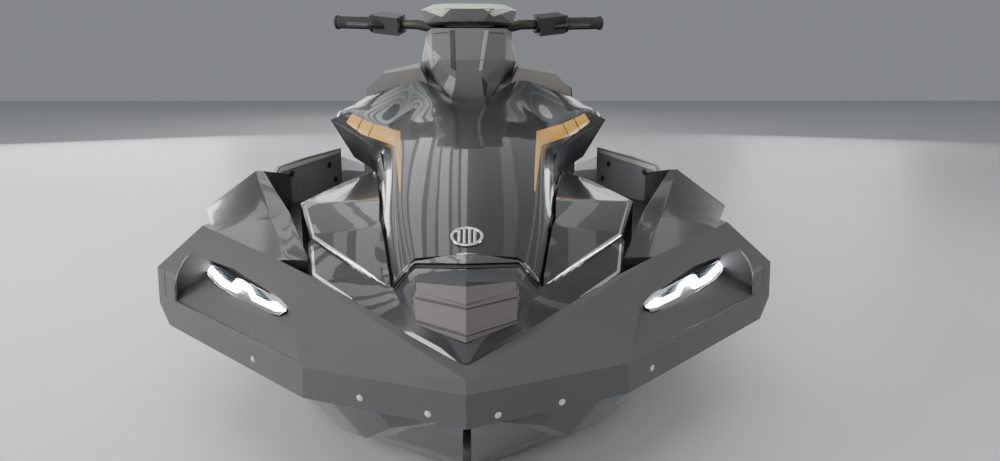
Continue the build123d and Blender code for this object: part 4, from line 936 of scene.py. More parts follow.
@dataclass
class Lamps:
    """The two lit lamps in the bumper's recesses, drawn from the starboard one."""

    craft: Craft
    sight: Sight
    origin: Point = (-0.4042, -1.4495, 0.2815)
    normal: Point = (-0.622, -0.563, 0.534)
    outline: Outline = (
        (200.5, 260.6), (203.6, 270.6), (214.3, 284.4), (237.2, 299.3), (270.5, 315.0), (278.6, 316.7),
        (286.6, 310.8), (288.7, 303.0), (284.9, 299.0), (248.7, 281.6), (223.5, 268.6), (202.0, 259.4),
    )
    brow: Outline = ((201.5, 260.4), (223.5, 269.0), (248.7, 282.2), (288.0, 302.0))
    sill: Outline = ((203.8, 270.0), (214.3, 284.0), (237.2, 298.8), (270.5, 314.4), (286.0, 310.0))
    band_top: Outline = (
        (204.0, 262.3), (209.7, 265.4), (223.5, 279.5), (230.2, 283.3), (234.6, 278.2), (240.1, 279.2),
        (249.9, 286.4), (253.4, 294.7), (265.9, 301.0), (274.0, 301.0), (286.0, 302.7), (288.6, 306.4),
    )
    band_foot: Outline = (
        (204.3, 264.9), (207.4, 272.0), (219.5, 284.4), (231.8, 292.2), (234.9, 292.2), (239.8, 288.4),
        (245.9, 290.3), (251.3, 301.6), (264.8, 308.2), (270.0, 310.2), (282.0, 310.2), (287.4, 308.5),
    )
    body_depth: float = 0.030
    body_round: float = 0.0008
    rim: float = 0.0022
    rim_step: float = 0.0008
    tray_depth: float = 0.012
    band_lift: float = -0.0035
    pleats: int = 15
    pleat_cells: int = 24
    pleat_margin: float = 0.04
    pleat_lift: float = -0.006
    pleat_depth: float = 0.0035
    sheet_wall: float = 0.0012
    lens_lift: float = 0.0022
    lens_wall: float = 0.0018

    def _out(self) -> Vector:
        """The way that the lens faces."""
        return Vector(self.normal).normalized()

    def _flat(self, places: Outline, lift: float = 0.0) -> list[Vector]:
        """Places of the frame on the lens's plane, lifted from it."""
        origin, normal = Vector(self.origin), self._out()
        return [self.sight.on_plane(x, y, origin, normal) + normal * lift for x, y in places]

    def _housing(self) -> bmesh.types.BMesh:
        """The dark tray behind the lens."""
        normal = self._out()
        mesh = plate(self._flat(self.outline), -normal * self.body_depth)
        front = max(mesh.faces, key=lambda face: face.calc_center_median().dot(normal))
        for width, depth in ((self.rim, 0.0), (self.rim_step, -self.tray_depth)):
            bmesh.ops.inset_region(mesh, faces=[front], thickness=width, depth=depth, use_even_offset=True)
        return mesh

    def _reflector(self) -> bmesh.types.BMesh:
        """Pleated bright steps that run along the tray."""
        normal, cells = self._out(), self.pleat_cells
        brow, sill = self._flat(self.brow, self.pleat_lift), self._flat(self.sill, self.pleat_lift)
        rows = []
        for row in range(self.pleats):
            share = self.pleat_margin + (1.0 - 2.0 * self.pleat_margin) * row / (self.pleats - 1)
            sunk = normal * (self.pleat_depth * (row % 2))
            line = [place / cells for place in range(1, cells)]
            rows.append([along(brow, u).lerp(along(sill, u), share) - sunk for u in line])
        return face_outwards(lattice(rows), normal)

    def _band(self) -> bmesh.types.BMesh:
        """The lit zigzag."""
        top, foot = self._flat(self.band_top, self.band_lift), self._flat(self.band_foot, self.band_lift)
        return face_outwards(lattice([top, foot]), self._out())

    def _cover(self) -> bmesh.types.BMesh:
        """The clear lens."""
        return plate(self._flat(self.outline, self.lens_lift), -self._out() * self.lens_wall)

    def build(self) -> None:
        """Makes both lamps."""
        parts = (
            ("housing", self._housing, Coat.TRAY, 0.0),
            ("reflector", self._reflector, Coat.REFLECTOR, self.sheet_wall),
            ("band", self._band, Coat.LED, self.sheet_wall),
            ("lens", self._cover, Coat.LENS, 0.0),
        )
        for side, name in SIDE_NAMES.items():
            node = "headlight_" + name
            for part, shape, coat, wall in parts:
                mesh = shape() if side < 0 else mirrored(shape())
                piece = new_piece(f"lamp_{part}_{name}", mesh, coat, smooth=False)
                if wall:
                    thicken(piece, wall)
                stands_for = []
                if part == "housing":
                    soften(piece, self.body_round)
                    stands_for = [node]
                finish_piece(piece, self.craft.bodies[node], coat, *stands_for)


@dataclass
class Bow:
    """Bumper, chin, side panels and what stands on them."""

    craft: Craft
    sight: Sight
    bumper_round: float = 0.010
    chin_round: float = 0.004
    panel_round: float = 0.007
    rivets: Outline = (
        (253.0, 359.0), (360.0, 398.0), (428.0, 414.0), (498.0, 415.0), (562.0, 402.0), (652.0, 368.0),
    )
    rivet: Profile = ((-0.002, 0.0), (-0.002, 0.0052), (0.0008, 0.0052), (0.002, 0.0034), (0.0024, 0.0))
    vent_outwards: Point = (0.0, -1.0, 0.3)
    vent_wall: float = 0.016
    # The vent pad's port half: three places of its face, then the painted shade lines under its steps, each
    # with its lift and its places from the middle outwards
    vent_face: tuple[Point, Point, Point] = ((0.0, 90.0, 288.0), (0.0, 130.0, 364.0), (96.0, 160.0, 341.0))
    vent_step_shades: tuple[tuple[float, Outline], ...] = (
        (4.9, ((0.0, 308.9), (49.4, 296.9))),
        (6.4, ((0.0, 336.1), (49.4, 320.0))),
    )
    step_shade_width: float = 1.7
    step_shade_wall: float = 0.0006
    chin_edge: Edges = (
        ((311.6, 246.0), (312.6, 275.5), (330.0, 287.0), (352.0, 300.5)),
        ((313.4, 247.0), (315.6, 274.0), (331.5, 284.6), (352.5, 299.0)),
    )
    # The outer end of a lamp recess: places of the two faces, then the rim and the new edge on each
    recess_faces: Outline = ((172.0, 262.0), (164.0, 299.0))
    recess_rim: Edges = (
        ((188.6, 251.8), (164.6, 270.8)),
        ((164.6, 270.8), (166.0, 297.8)),
    )
    recess_end: Edges = (
        ((189.2, 252.4), (183.6, 258.6), (178.6, 266.8), (174.8, 277.6)),
        ((174.8, 277.6), (174.0, 290.0), (175.2, 302.6)),
    )
    recess_steps: int = 4
    recess_cells: int = 8
    recess_sunk: float = 0.0004
    lip: Edges = (
        ((466.5, 253.0), (517.5, 256.0), (537.0, 280.5)),
        ((466.5, 266.0), (518.5, 264.5), (538.8, 287.0)),
    )
    # A chrome strip on the lid's front edge, a painted highlight along its bevel
    lip_highlight: Edges = (
        ((466.5, 255.6), (517.0, 257.0), (536.8, 281.0)),
        ((466.5, 256.7), (517.2, 258.1), (537.2, 282.2)),
    )
    # Painted shade on the chin under the lid's lip
    lip_gap_shade: Edges = (
        ((466.5, 265.5), (518.4, 264.0), (538.6, 286.4)),
        ((466.5, 268.6), (518.8, 266.9), (539.2, 289.4)),
    )
    # Painted dark reflection: a dark plate laid over the tip of the chin
    tip: Edges = (
        ((466.5, 335.0), (489.2, 334.0)),
        ((466.5, 367.0), (467.5, 366.0)),
    )
    vent_sunk: float = 0.011
    vent_middle: float = 466.5
    vent_turn: float = 7.0
    vent_lifts: tuple[float, ...] = (0.0, 0.0, 4.5, 2.0, 6.0, 4.0)
    vent_lines: tuple[Outline, ...] = (
        ((0.0, 286.6), (49.4, 281.3), (52.6, 285.3)),
        ((0.0, 307.1), (49.4, 295.5), (59.0, 294.0)),
        ((0.0, 309.6), (49.4, 297.6), (58.6, 296.0)),
        ((0.0, 334.4), (49.4, 318.7), (53.0, 316.5)),
        ((0.0, 336.8), (49.4, 320.6), (52.0, 318.4)),
        ((0.0, 343.6), (49.4, 323.8), (50.4, 322.4)),
    )
    trim: tuple[Edges, ...] = (
        (((306.2, 204.5), (314.6, 236.4)), ((304.6, 205.0), (312.9, 238.0))),
        (((314.6, 236.4), (386.6, 284.6)), ((312.9, 238.0), (385.0, 287.4))),
    )

    def build(self) -> None:
        """Makes every piece of the bow."""
        skin = self.craft.skin
        bumper = skin("bow_bumper", Coat.GREY, self.bumper_round, segments=4, angle=14.0)
        chin = skin("chin_panel", Coat.GLOSS, self.chin_round, segments=3, angle=12.0)
        self._vent()
        self._chin_lines(tree_of(chin))
        for side in SIDE_NAMES.values():
            cheek = skin("cheek_" + side, Coat.GLOSS, self.panel_round, segments=3, angle=12.0)
            skin("fairing_" + side, Coat.SIDE, self.panel_round, segments=3, angle=10.0)
        self._rivets(tree_of(bumper))
        self._recess_ends(tree_of(bumper))
        self._edges(tree_of(chin), tree_of(cheek))

    def _vent(self) -> None:
        """The stepped matte pad on the chin, a dark copy set back behind it as painted shadow, and dark lines
        as painted shade under its steps.
        """
        body = self.craft.bodies["vent_pad"]
        # Painted shadow: the pad's shape set back and coated dark, standing for the shadow round the pad.
        shadow_shape = self.craft.copied("vent_pad")
        bmesh.ops.translate(shadow_shape, vec=(0.0, self.vent_sunk, 0.0), verts=shadow_shape.verts)
        frame = soften(new_piece("vent_shadow", shadow_shape, Coat.SHADE), width=0.002)
        finish_piece(frame, body, Coat.SHADE)
        low, high, side = (Vector(spot(*place)) for place in self.vent_face)
        normal = (side - low).cross(high - low).normalized()
        rows = []
        for lift, line in zip(self.vent_lifts, self.vent_lines):
            half = []
            for index, (x, y) in enumerate(line):
                depth = lift if index < 2 else -self.vent_turn
                place = self.sight.on_plane(self.vent_middle + x, y, low, normal)
                half.append(place + normal * depth * MILLI)
            half[0].x = 0.0
            rows.append([*(Vector((-p.x, p.y, p.z)) for p in reversed(half[1:])), *half])
        mesh = face_outwards(lattice(rows), self.vent_outwards)
        pad = thicken(new_piece("vent_steps", mesh, Coat.PAD), self.vent_wall)
        soften(pad, width=0.0012, segments=2, angle=8.0)
        finish_piece(pad, body, Coat.PAD, "vent_pad")
        # Painted shade: dark lines along the lower edges of the pad's steps.
        for index, (lift, line) in enumerate(self.vent_step_shades):
            rows = []
            for drop in (0.0, self.step_shade_width):
                places = (self.sight.on_plane(self.vent_middle + x, y + drop, low, normal) for x, y in line)
                rows.append([place + normal * lift * MILLI for place in places])
            name = f"vent_groove_{index}"
            both_sides(from_middle(rows), name, Coat.SHADE, body, self.step_shade_wall, self.vent_outwards)

    def _chin_lines(self, tree: BVHTree) -> None:
        """The lid's front lip with a painted highlight on its edge, painted shade in the gap below it and a
        painted dark reflection on the tip of the chin.
        """
        for name, coat, node, edges, lift, wall in (
            ("lid_lip", Coat.GLOSS, "hatch", self.lip, 0.0045, 0.0040),
            # A chrome strip as a painted highlight on the lid's edge, a dark strip as painted shade under the
            # lip and a dark plate as a painted dark reflection on the chin's tip
            ("lid_edge_highlight", Coat.CHROME, "hatch", self.lip_highlight, 0.0052, 0.0012),
            ("lid_gap_shade", Coat.SHADE, "chin_panel", self.lip_gap_shade, 0.0012, 0.0012),
            ("chin_tip_reflection", Coat.BLACK, "chin_panel", self.tip, 0.0014, 0.0014),
        ):
            rows = from_middle(laid(self.sight, tree, edges, cells=24, lift=lift))
            both_sides(rows, name, coat, self.craft.bodies[node], wall, outwards=(0.0, -0.5, 1.0))

    def _recess_ends(self, tree: BVHTree) -> None:
        """Carries the bumper's upper and outer faces round the outer end of each lamp recess."""
        faces = [self.sight.on_piece(tree, x, y) for x, y in self.recess_faces]
        rows = []
        for step in range(self.recess_steps + 1):
            row = []
            for (origin, normal), rim, end in zip(faces, self.recess_rim, self.recess_end):
                lines = [[(*point, 0.0) for point in edge] for edge in (rim, end)]
                for place in range(bool(row), self.recess_cells + 1):
                    share = place / self.recess_cells
                    x, y, _ = along(lines[0], share).lerp(along(lines[1], share), step / self.recess_steps)
                    row.append(self.sight.on_plane(x, y, origin, normal) - normal * self.recess_sunk)
            rows.append(row)
        body = self.craft.bodies["bow_bumper"]
        both_sides(rows, "recess_end", Coat.GREY, body, wall=0.0040, outwards=(-0.6, -0.7, 0.3), edge=0.0004)

    def _edges(self, chin: BVHTree, cheek: BVHTree) -> None:
        """Bright edges beside the chin and along the panels' lower borders, drawn to starboard."""
        rows = laid(self.sight, chin, self.chin_edge, cells=16, lift=0.0010)
        body = self.craft.bodies["chin_panel"]
        both_sides(rows, "chin_edge", Coat.CHROME, body, wall=0.0020, outwards=(-0.3, -0.6, 0.8), edge=0.0004)
        body = self.craft.bodies["cheek_starboard"]
        for index, edges in enumerate(self.trim):
            rows = laid(self.sight, cheek, edges, cells=10, lift=0.0008)
            name = f"panel_edge_{index}"
            both_sides(rows, name, Coat.CHROME, body, 0.0020, (-0.3, -0.3, 1.0), edge=0.0005, segments=2)

    def _rivets(self, tree: BVHTree) -> None:
        """Push rivets along the bumper's lower edge."""
        for index, (x, y) in enumerate(self.rivets):
            place, normal = self.sight.on_piece(tree, x, y)
            rivet = new_piece(f"rivet_{index}", turned(self.rivet, place, place + normal, 16), Coat.PIN)
            finish_piece(rivet, self.craft.bodies["bow_bumper"], Coat.PIN)


@dataclass
class FrontHatch:
    """The front storage lid with its stripes and emblem."""

    craft: Craft
    sight: Sight
    # Station, centre height, then half width and height of the lines along the lid
    sections: tuple[tuple[float, ...], ...] = (
        (222, 357, 40, 355, 80, 352, 94, 349, 100, 347, 106, 345, 110, 342, 117, 331),
        (420, 440, 50, 438, 98, 434, 128, 431, 136, 428, 142, 425, 148, 420, 158, 405),
        (640, 513, 60, 511, 120, 505, 148, 502, 160, 498, 168, 488, 178, 470, 190, 432),
        (790, 549, 66, 546, 136, 540, 164, 538, 178, 536, 190, 528, 206, 508, 214, 450),
        (900, 575, 68, 573, 146, 568, 174, 563, 186, 562, 292, 594, 338, 575, 284, 474),
        (990, 597, 62, 614, 112, 612, 162, 588, 200, 606, 296, 606, 346, 574, 300, 486),
        (1072, 604, 54, 611, 112, 661, 155, 662, 192, 648, 292, 614, 322, 592, 304, 496),
    )
    creases: tuple[float, ...] = (0.55, 0.2, 0.75, 0.75, 0.6, 0.85, 0.9, 0.0)
    front_corner: tuple[float, float] = (85.0, 260.0)
    front_side: tuple[float, float] = (118.0, 220.0)
    gap: float = 3.0
    wall: float = 0.005
    stripe_bars: tuple[Outline, ...] = (
        ((574.6, 118.7), (584.4, 113.7), (591.5, 124.6), (580.9, 131.2)),
        ((563.2, 123.7), (573.7, 119.1), (579.6, 131.8), (569.0, 135.7)),
        ((536.7, 131.5), (562.2, 124.1), (568.0, 136.1), (541.3, 145.9)),
    )
    stripe_leg: Edges = (
        ((536.7, 131.5), (535.4, 152.0), (534.6, 172.0), (534.2, 191.5)),
        ((541.3, 145.9), (539.4, 160.0), (537.2, 176.0), (535.2, 191.5)),
    )
    stripe_wall: float = 0.0012
    stripe_lift: float = 0.0010
    lining_gap: float = 0.009
    lining_slope: float = 0.2
    # The emblem's field and ring, each as distances along its axis and from it, and its upright bars
    emblem_field: Profile = (
        (-0.003, 0.0), (-0.003, 0.0285), (0.0012, 0.0285), (0.0012, 0.0275), (0.0012, 0.0),
    )
    emblem_ring: Profile = (
        (-0.002, 0.0230), (0.0026, 0.0230), (0.0034, 0.0239), (0.0034, 0.0275), (0.0026, 0.0285),
        (-0.002, 0.0285), (-0.002, 0.0230),
    )
    emblem_steps: int = 48
    emblem_reach: float = 0.0215
    bar_places: tuple[float, ...] = (-0.0135, -0.0045, 0.0045, 0.0135)
    bar_half: float = 0.0026
    bar_foot: float = 0.0010
    bar_height: float = 0.0022

    def build(self) -> None:
        """Makes the lid and what it carries."""
        lid = self._lid()
        self._lining()
        self._stripes(tree_of(lid))
        self._emblem(tree_of(lid))

    def _rows(self) -> list[list[Point]]:
        """The lid's lines from starboard to port at each station."""
        rows = []
        for station, centre, *pairs in self.sections:
            half = list(zip(pairs[::2], pairs[1::2]))
            port = [spot(x, station, z) for x, z in half]
            starboard = [spot(-x, station, z) for x, z in reversed(half)]
            rows.append([*starboard, spot(0, station, centre), *port])
        return rows

    def _lid(self) -> bpy.types.Object:
        """The gloss skin, smooth along the craft and creased along its lines."""
        cage = lattice(between(self._rows(), 2))
        layer = cage.edges.layers.float.new("crease_edge")
        middle = len(self.creases)
        cage.verts.ensure_lookup_table()
        columns = 2 * middle + 1
        for edge in cage.edges:
            ends = [vert.index % columns for vert in edge.verts]
            if ends[0] == ends[1]:
                line = abs(ends[0] - middle)
                edge[layer] = self.creases[line] if line < middle else 0.0
        rough = subdivide(new_piece("lid_cage", cage, Coat.GLOSS), 4)
        mesh = baked(rough)
        bpy.data.objects.remove(rough)
        self._trim(mesh)
        face_outwards(mesh, (0.0, -0.3, 1.0))
        lid = thicken(new_piece("hatch_skin", mesh, Coat.GLOSS), self.wall)
        soften(lid, width=0.0018, segments=2, angle=50.0)
        return finish_piece(lid, self.craft.bodies["hatch"], Coat.GLOSS, "hatch")

    def _trim(self, mesh: bmesh.types.BMesh) -> None:
        """Cuts the lid's front edge to the chin's keystone."""
        (inner, back), (outer, front) = self.front_corner, self.front_side
        back, front = back + self.gap, front + self.gap
        slope = (back - front) / (outer - inner)
        cuts = [((0.0, at(back * MILLI), 0.0), (0.0, -1.0, 0.0))]
        for side in SIDES:
            cuts.append((spot(side * inner, back, 0.0), (side * slope, 1.0, 0.0)))
        for place, normal in cuts:
            geometry = [*mesh.verts, *mesh.edges, *mesh.faces]
            bmesh.ops.bisect_plane(mesh, geom=geometry, dist=1e-6, plane_co=place, plane_no=normal)
        gone = []
        for face in mesh.faces:
            middle = face.calc_center_median()
            station = (middle.y + HALF_LENGTH) / MILLI
            if station < back and abs(middle.x) / MILLI < inner + (back - station) / slope:
                gone.append(face)
        bmesh.ops.delete(mesh, geom=gone, context="FACES")

    def _lining(self) -> None:
        """The lid's dark moulded underside with its hinge leaves."""
        mesh = self.craft.copied("hatch")
        for vert in mesh.verts:
            if vert.normal.z > self.lining_slope:
                vert.co.z -= self.lining_gap
        lining = new_piece("hatch_lining", mesh, Coat.BLACK)
        soften(lining, width=0.001)
        finish_piece(lining, self.craft.bodies["hatch"], Coat.BLACK)

    def _stripes(self, tree: BVHTree) -> None:
        """Three gold bars on each raised shoulder and the leg that runs forwards from them."""
        shapes = {}
        for index, (a, b, c, d) in enumerate(self.stripe_bars):
            shapes[f"stripe_bar_{index}"] = ((a, b), (d, c))
        shapes["stripe_leg"] = self.stripe_leg
        body = self.craft.bodies["hatch"]
        for name, edges in shapes.items():
            rows = laid(self.sight, tree, edges, cells=8, lift=self.stripe_lift)
            both_sides(rows, name, Coat.GOLD, body, self.stripe_wall, outwards=(0.2, -0.6, 0.8))

    def _emblem(self, tree: BVHTree) -> None:
        """A plain ring round four upright bars."""
        low, high = (Vector(corner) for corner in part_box("emblem"))
        middle = (low + high) / 2
        place, normal, _, _ = tree.ray_cast(middle + Vector((0.0, -0.05, 0.12)), Vector((0.0, 0.05, -0.12)))
        if place is None:
            place, normal = middle, Vector((0.0, -0.386, 0.922))
        normal = Vector((0.0, normal.y, normal.z)).normalized()
        body = self.craft.bodies["emblem"]
        top = place + normal
        back = turned(self.emblem_field, place, top, self.emblem_steps)
        finish_piece(new_piece("emblem_field", back, Coat.BLACK), body, Coat.BLACK, "emblem")
        ring = turned(self.emblem_ring, place, top, self.emblem_steps)
        finish_piece(new_piece("emblem_ring", ring, Coat.CHROME), body, Coat.CHROME)
        across, up = Vector((1.0, 0.0, 0.0)), Vector((0.0, normal.z, -normal.y))
        foot = place + normal * self.bar_foot
        for index, shift in enumerate(self.bar_places):
            reach = math.sqrt(self.emblem_reach ** 2 - shift ** 2)
            edges = ((-1.0, -1.0), (1.0, -1.0), (1.0, 1.0), (-1.0, 1.0))
            outline = [foot + across * (shift + x * self.bar_half) + up * (y * reach) for x, y in edges]
            bar = new_piece(f"emblem_bar_{index}", plate(outline, normal * self.bar_height), Coat.CHROME)
            soften(bar, width=0.0006)
            finish_piece(bar, body, Coat.CHROME)


@dataclass
class Topsides:
    """Deck, mats, rails and guards."""

    craft: Craft
    sight: Sight
    # The top bevel of each guard, where a painted highlight lies
    rim: Edges = (
        ((277.6, 176.0), (280.2, 167.8), (339.8, 149.8)),
        ((280.4, 178.0), (282.6, 171.4), (339.8, 153.0)),
    )
    screws: Outline = ((291.5, 173.4), (328.9, 164.7), (335.4, 179.3))
    screw: Profile = (
        (-0.002, 0.0), (-0.002, 0.0075), (0.0016, 0.0075), (0.003, 0.0055), (0.003, 0.0032),
        (0.0012, 0.0028), (0.0012, 0.0),
    )

    def build(self) -> None:
        """Makes the deck's pieces."""
        skin = self.craft.skin
        skin("deck", Coat.DECK, width=0.008, segments=3, angle=20.0)
        skin("footwell_mats", Coat.FOAM, width=0.002)
        skin("platform_mat", Coat.FOAM, width=0.002)
        skin("rub_rails", Coat.RUBBER, width=0.006, segments=3)
        guards = skin("splash_guards", Coat.GUARD, width=0.003, segments=3)
        self._screws(tree_of(guards))
        self._rim_highlights(tree_of(guards))

    def _rim_highlights(self, tree: BVHTree) -> None:
        """A pale strip along the top of each guard, a painted highlight on its bevel."""
        rows = laid(self.sight, tree, self.rim, cells=16, lift=0.0012)
        body = self.craft.bodies["splash_guards"]
        both_sides(rows, "guard_rim_highlight", Coat.PALE_HIGHLIGHT, body, wall=0.0018, outwards=(0.0, -1.0, 0.2), edge=0.0004)

    def _screws(self, tree: BVHTree) -> None:
        """Dome-headed screws in the guards, drawn from the starboard side."""
        for index, (x, y) in enumerate(self.screws):
            place, normal = self.sight.on_piece(tree, x, y)
            for side, name in SIDE_NAMES.items():
                mesh = turned(self.screw, place, place + normal, 20)
                if side > 0:
                    mirrored(mesh)
                head = new_piece(f"guard_screw_{index}_{name}", mesh, Coat.DARK_METAL)
                finish_piece(head, self.craft.bodies["splash_guards"], Coat.DARK_METAL)


@dataclass
class Helm:
    """Steering, cowl, glove box and display."""

    craft: Craft
    sight: Sight
    grip_radius: float = 0.0168
    ribs: int = 13
    rib_start: float = 0.016
    rib_stop: float = 0.012
    # Places along the grip with the rise over its radius: inner flange, a rib in shares, outer cuff
    flange: Profile = ((0.0, 0.0085), (0.004, 0.0095), (0.007, 0.004), (0.010, 0.0))
    rib: Profile = ((0.0, 0.0), (0.18, 0.0013), (0.62, 0.0013), (0.8, 0.0))
    cuff: Profile = ((-0.008, 0.0008), (-0.006, 0.004), (-0.001, 0.004), (0.0, 0.002))
    clamp: Profile = (
        (0.0, 0.0), (0.0, 0.019), (0.002, 0.024), (0.0065, 0.0245), (0.0075, 0.0225), (0.0085, 0.0245),
        (0.013, 0.024), (0.015, 0.019), (0.015, 0.0),
    )
    clamp_inner: float = 0.004
    clamp_outer: float = 0.010
    button: Profile = ((0.0, 0.0), (0.0, 0.0075), (0.0045, 0.0072), (0.0058, 0.0055), (0.0062, 0.0))
    # Each button's shift across and rise, and its finish
    buttons: tuple[tuple[float, float, Coat], ...] = (
        (-0.020, 0.008, Coat.GUARD), (0.0, 0.010, Coat.LIVELY), (0.020, 0.004, Coat.GUARD),
    )
    button_sunk: float = 0.003
    cowl_top: float = 0.655
    # Painted highlights on the shroud's lit facets, painted shade on its shaded ones, and painted highlights
    # on the pad, each between two lines in the camera's frame
    shroud_highlights: tuple[Edges, ...] = (
        (((449.9, 74.5), (443.4, 87.5)), ((456.0, 79.0), (451.8, 98.0))),
        (((488.8, 30.0), (482.2, 70.0)), ((484.6, 30.0), (478.8, 71.0))),
        (((426.4, 43.5), (431.2, 69.5)), ((427.4, 43.8), (441.0, 57.4))),
    )
    shroud_shades: tuple[Edges, ...] = (
        (((449.6, 30.0), (451.0, 68.0)), ((454.4, 30.0), (456.2, 71.0))),
        (((481.2, 76.0), (484.4, 97.5)), ((487.6, 83.5), (485.6, 96.5))),
        (((427.5, 33.6), (448.6, 31.8)), ((427.7, 34.6), (448.7, 32.8))),
        (((489.4, 31.8), (510.6, 33.6)), ((489.5, 32.8), (510.4, 34.6))),
    )
    pad_highlights: tuple[Edges, ...] = (
        (((423.4, 9.0), (452.0, 7.6)), ((424.2, 9.8), (441.8, 16.8))),
        (((483.0, 7.6), (513.6, 9.0)), ((493.4, 16.4), (512.8, 9.8))),
    )

    def build(self) -> None:
        """Makes the helm's pieces."""
        skin = self.craft.skin
        skin("dash_cowl", Coat.COWL, width=0.006, segments=3, angle=14.0)
        skin("glovebox_lid", Coat.COWL, width=0.003)
        shroud = skin("steering_shroud", Coat.SHROUD, width=0.006, angle=8.0)
        pad = skin("bar_pad", Coat.SHROUD, width=0.004, angle=8.0)
        # Pale strips paint highlights on the shroud's lit facets, dark strips paint shade on its shaded ones,
        # and pale strips paint highlights on the pad.
        self._painted_light("shroud_highlight", shroud, self.shroud_highlights, Coat.FACET_HIGHLIGHT)
        self._painted_light("shroud_shade", shroud, self.shroud_shades, Coat.SHADE)
        self._painted_light("pad_highlight", pad, self.pad_highlights, Coat.PALE_HIGHLIGHT)
        # Painted highlight: the pad's upward faces in a pale coat, standing for light from above.
        self.craft.panel(
            "bar_pad", "bar_pad_top_highlight", Coat.PALE_HIGHLIGHT, lambda face: face.normal.z > 0.3, lift=0.0022, margin=0.0
        )
        for side, label in SIDE_NAMES.items():
            self.craft.panel(
                "dash_cowl",
                "cowl_side_" + label,
                Coat.SIDE,
                lambda face: face.normal.x * side > 0.55 and face.calc_center_median().z < self.cowl_top,
                lift=0.003,
                margin=0.010,
            )
        skin("steering_column", Coat.ALUMINIUM, width=0.001)
        skin("handlebar", Coat.BLACK, width=0.001)
        for side in SIDE_NAMES.values():
            self._grip("grip_" + side)
            self._switch("switch_" + side, "grip_" + side)
        skin("reverse_lever", Coat.BLACK, width=0.001)
        skin("throttle_lever", Coat.BLACK, width=0.001)
        skin("display", Coat.SCREEN, width=0.003)
        self.craft.dressed("storage_bin", Coat.BLACK)

    def _painted_light(self, name: str, piece: bpy.types.Object, shapes: tuple[Edges, ...], coat: Coat) -> None:
        """Thin strips laid on a piece's front that paint its lit facets pale and its shaded ones dark.

        Args:
            name: the strips' name, to which a number is added.
            piece: what they lie on.
            shapes: the two edges of each in the camera's frame.
            coat: their finish, pale for a painted highlight and dark for painted shade.
        """
        tree = tree_of(piece)
        for index, edges in enumerate(shapes):
            rows = laid(self.sight, tree, edges, cells=6, lift=0.0008)
            mesh = face_outwards(lattice(rows), (0.0, -1.0, 0.0))
            painted_strip = thicken(new_piece(f"{name}_{index}", mesh, coat), wall=0.0014)
            soften(painted_strip, width=0.0003, segments=1, angle=STRIP_ANGLE)
            finish_piece(painted_strip, self.craft.bodies["steering_shroud"], coat)

    def _switch(self, node: str, grip: str) -> None:
        """A switch housing with its clamp rings and buttons."""
        self.craft.skin(node, Coat.BLACK, width=0.009, segments=4)
        body = self.craft.bodies[node]
        inner, outer = self.craft.ends(grip)
        axis = (outer - inner).normalized()
        low, high = (Vector(corner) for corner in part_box(node))
        reach, centre = (high - low) / 2, (low + high) / 2
        middle = inner - axis * abs(inner.x - centre.x)
        for index, shift in enumerate((-reach.x - self.clamp_inner, reach.x - self.clamp_outer)):
            start = middle + axis * shift
            ring = turned(self.clamp, start, start + axis, 32)
            finish_piece(new_piece(f"{node}_clamp_{index}", ring, Coat.BLACK), body, Coat.BLACK)
        for index, (shift, rise, coat) in enumerate(self.buttons):
            start = Vector((middle.x + shift, high.y - self.button_sunk, centre.z + rise))
            button = turned(self.button, start, start + Vector((0.0, 1.0, 0.0)), 20)
            finish_piece(new_piece(f"{node}_button_{index}", button, coat), body, coat)

    def _grip(self, node: str) -> None:
        """A ribbed rubber grip with a flange at each end."""
        inner, outer = self.craft.ends(node)
        length = (outer - inner).length
        radius = self.grip_radius
        profile = [(0.0, 0.0), *((place, radius + rise) for place, rise in self.flange)]
        pitch = (length - self.rib_stop - self.rib_start) / self.ribs
        for rib in range(self.ribs):
            place = self.rib_start + rib * pitch
            profile += [(place + share * pitch, radius + rise) for share, rise in self.rib]
        profile += [(length + place, radius + rise) for place, rise in self.cuff]
        profile.append((length, 0.0))
        piece = new_piece(node + "_rubber", turned(profile, inner, outer, 32), Coat.RUBBER)
        soften(piece, width=0.0003, segments=1, angle=STRIP_ANGLE)
        finish_piece(piece, self.craft.bodies[node], Coat.RUBBER, node)


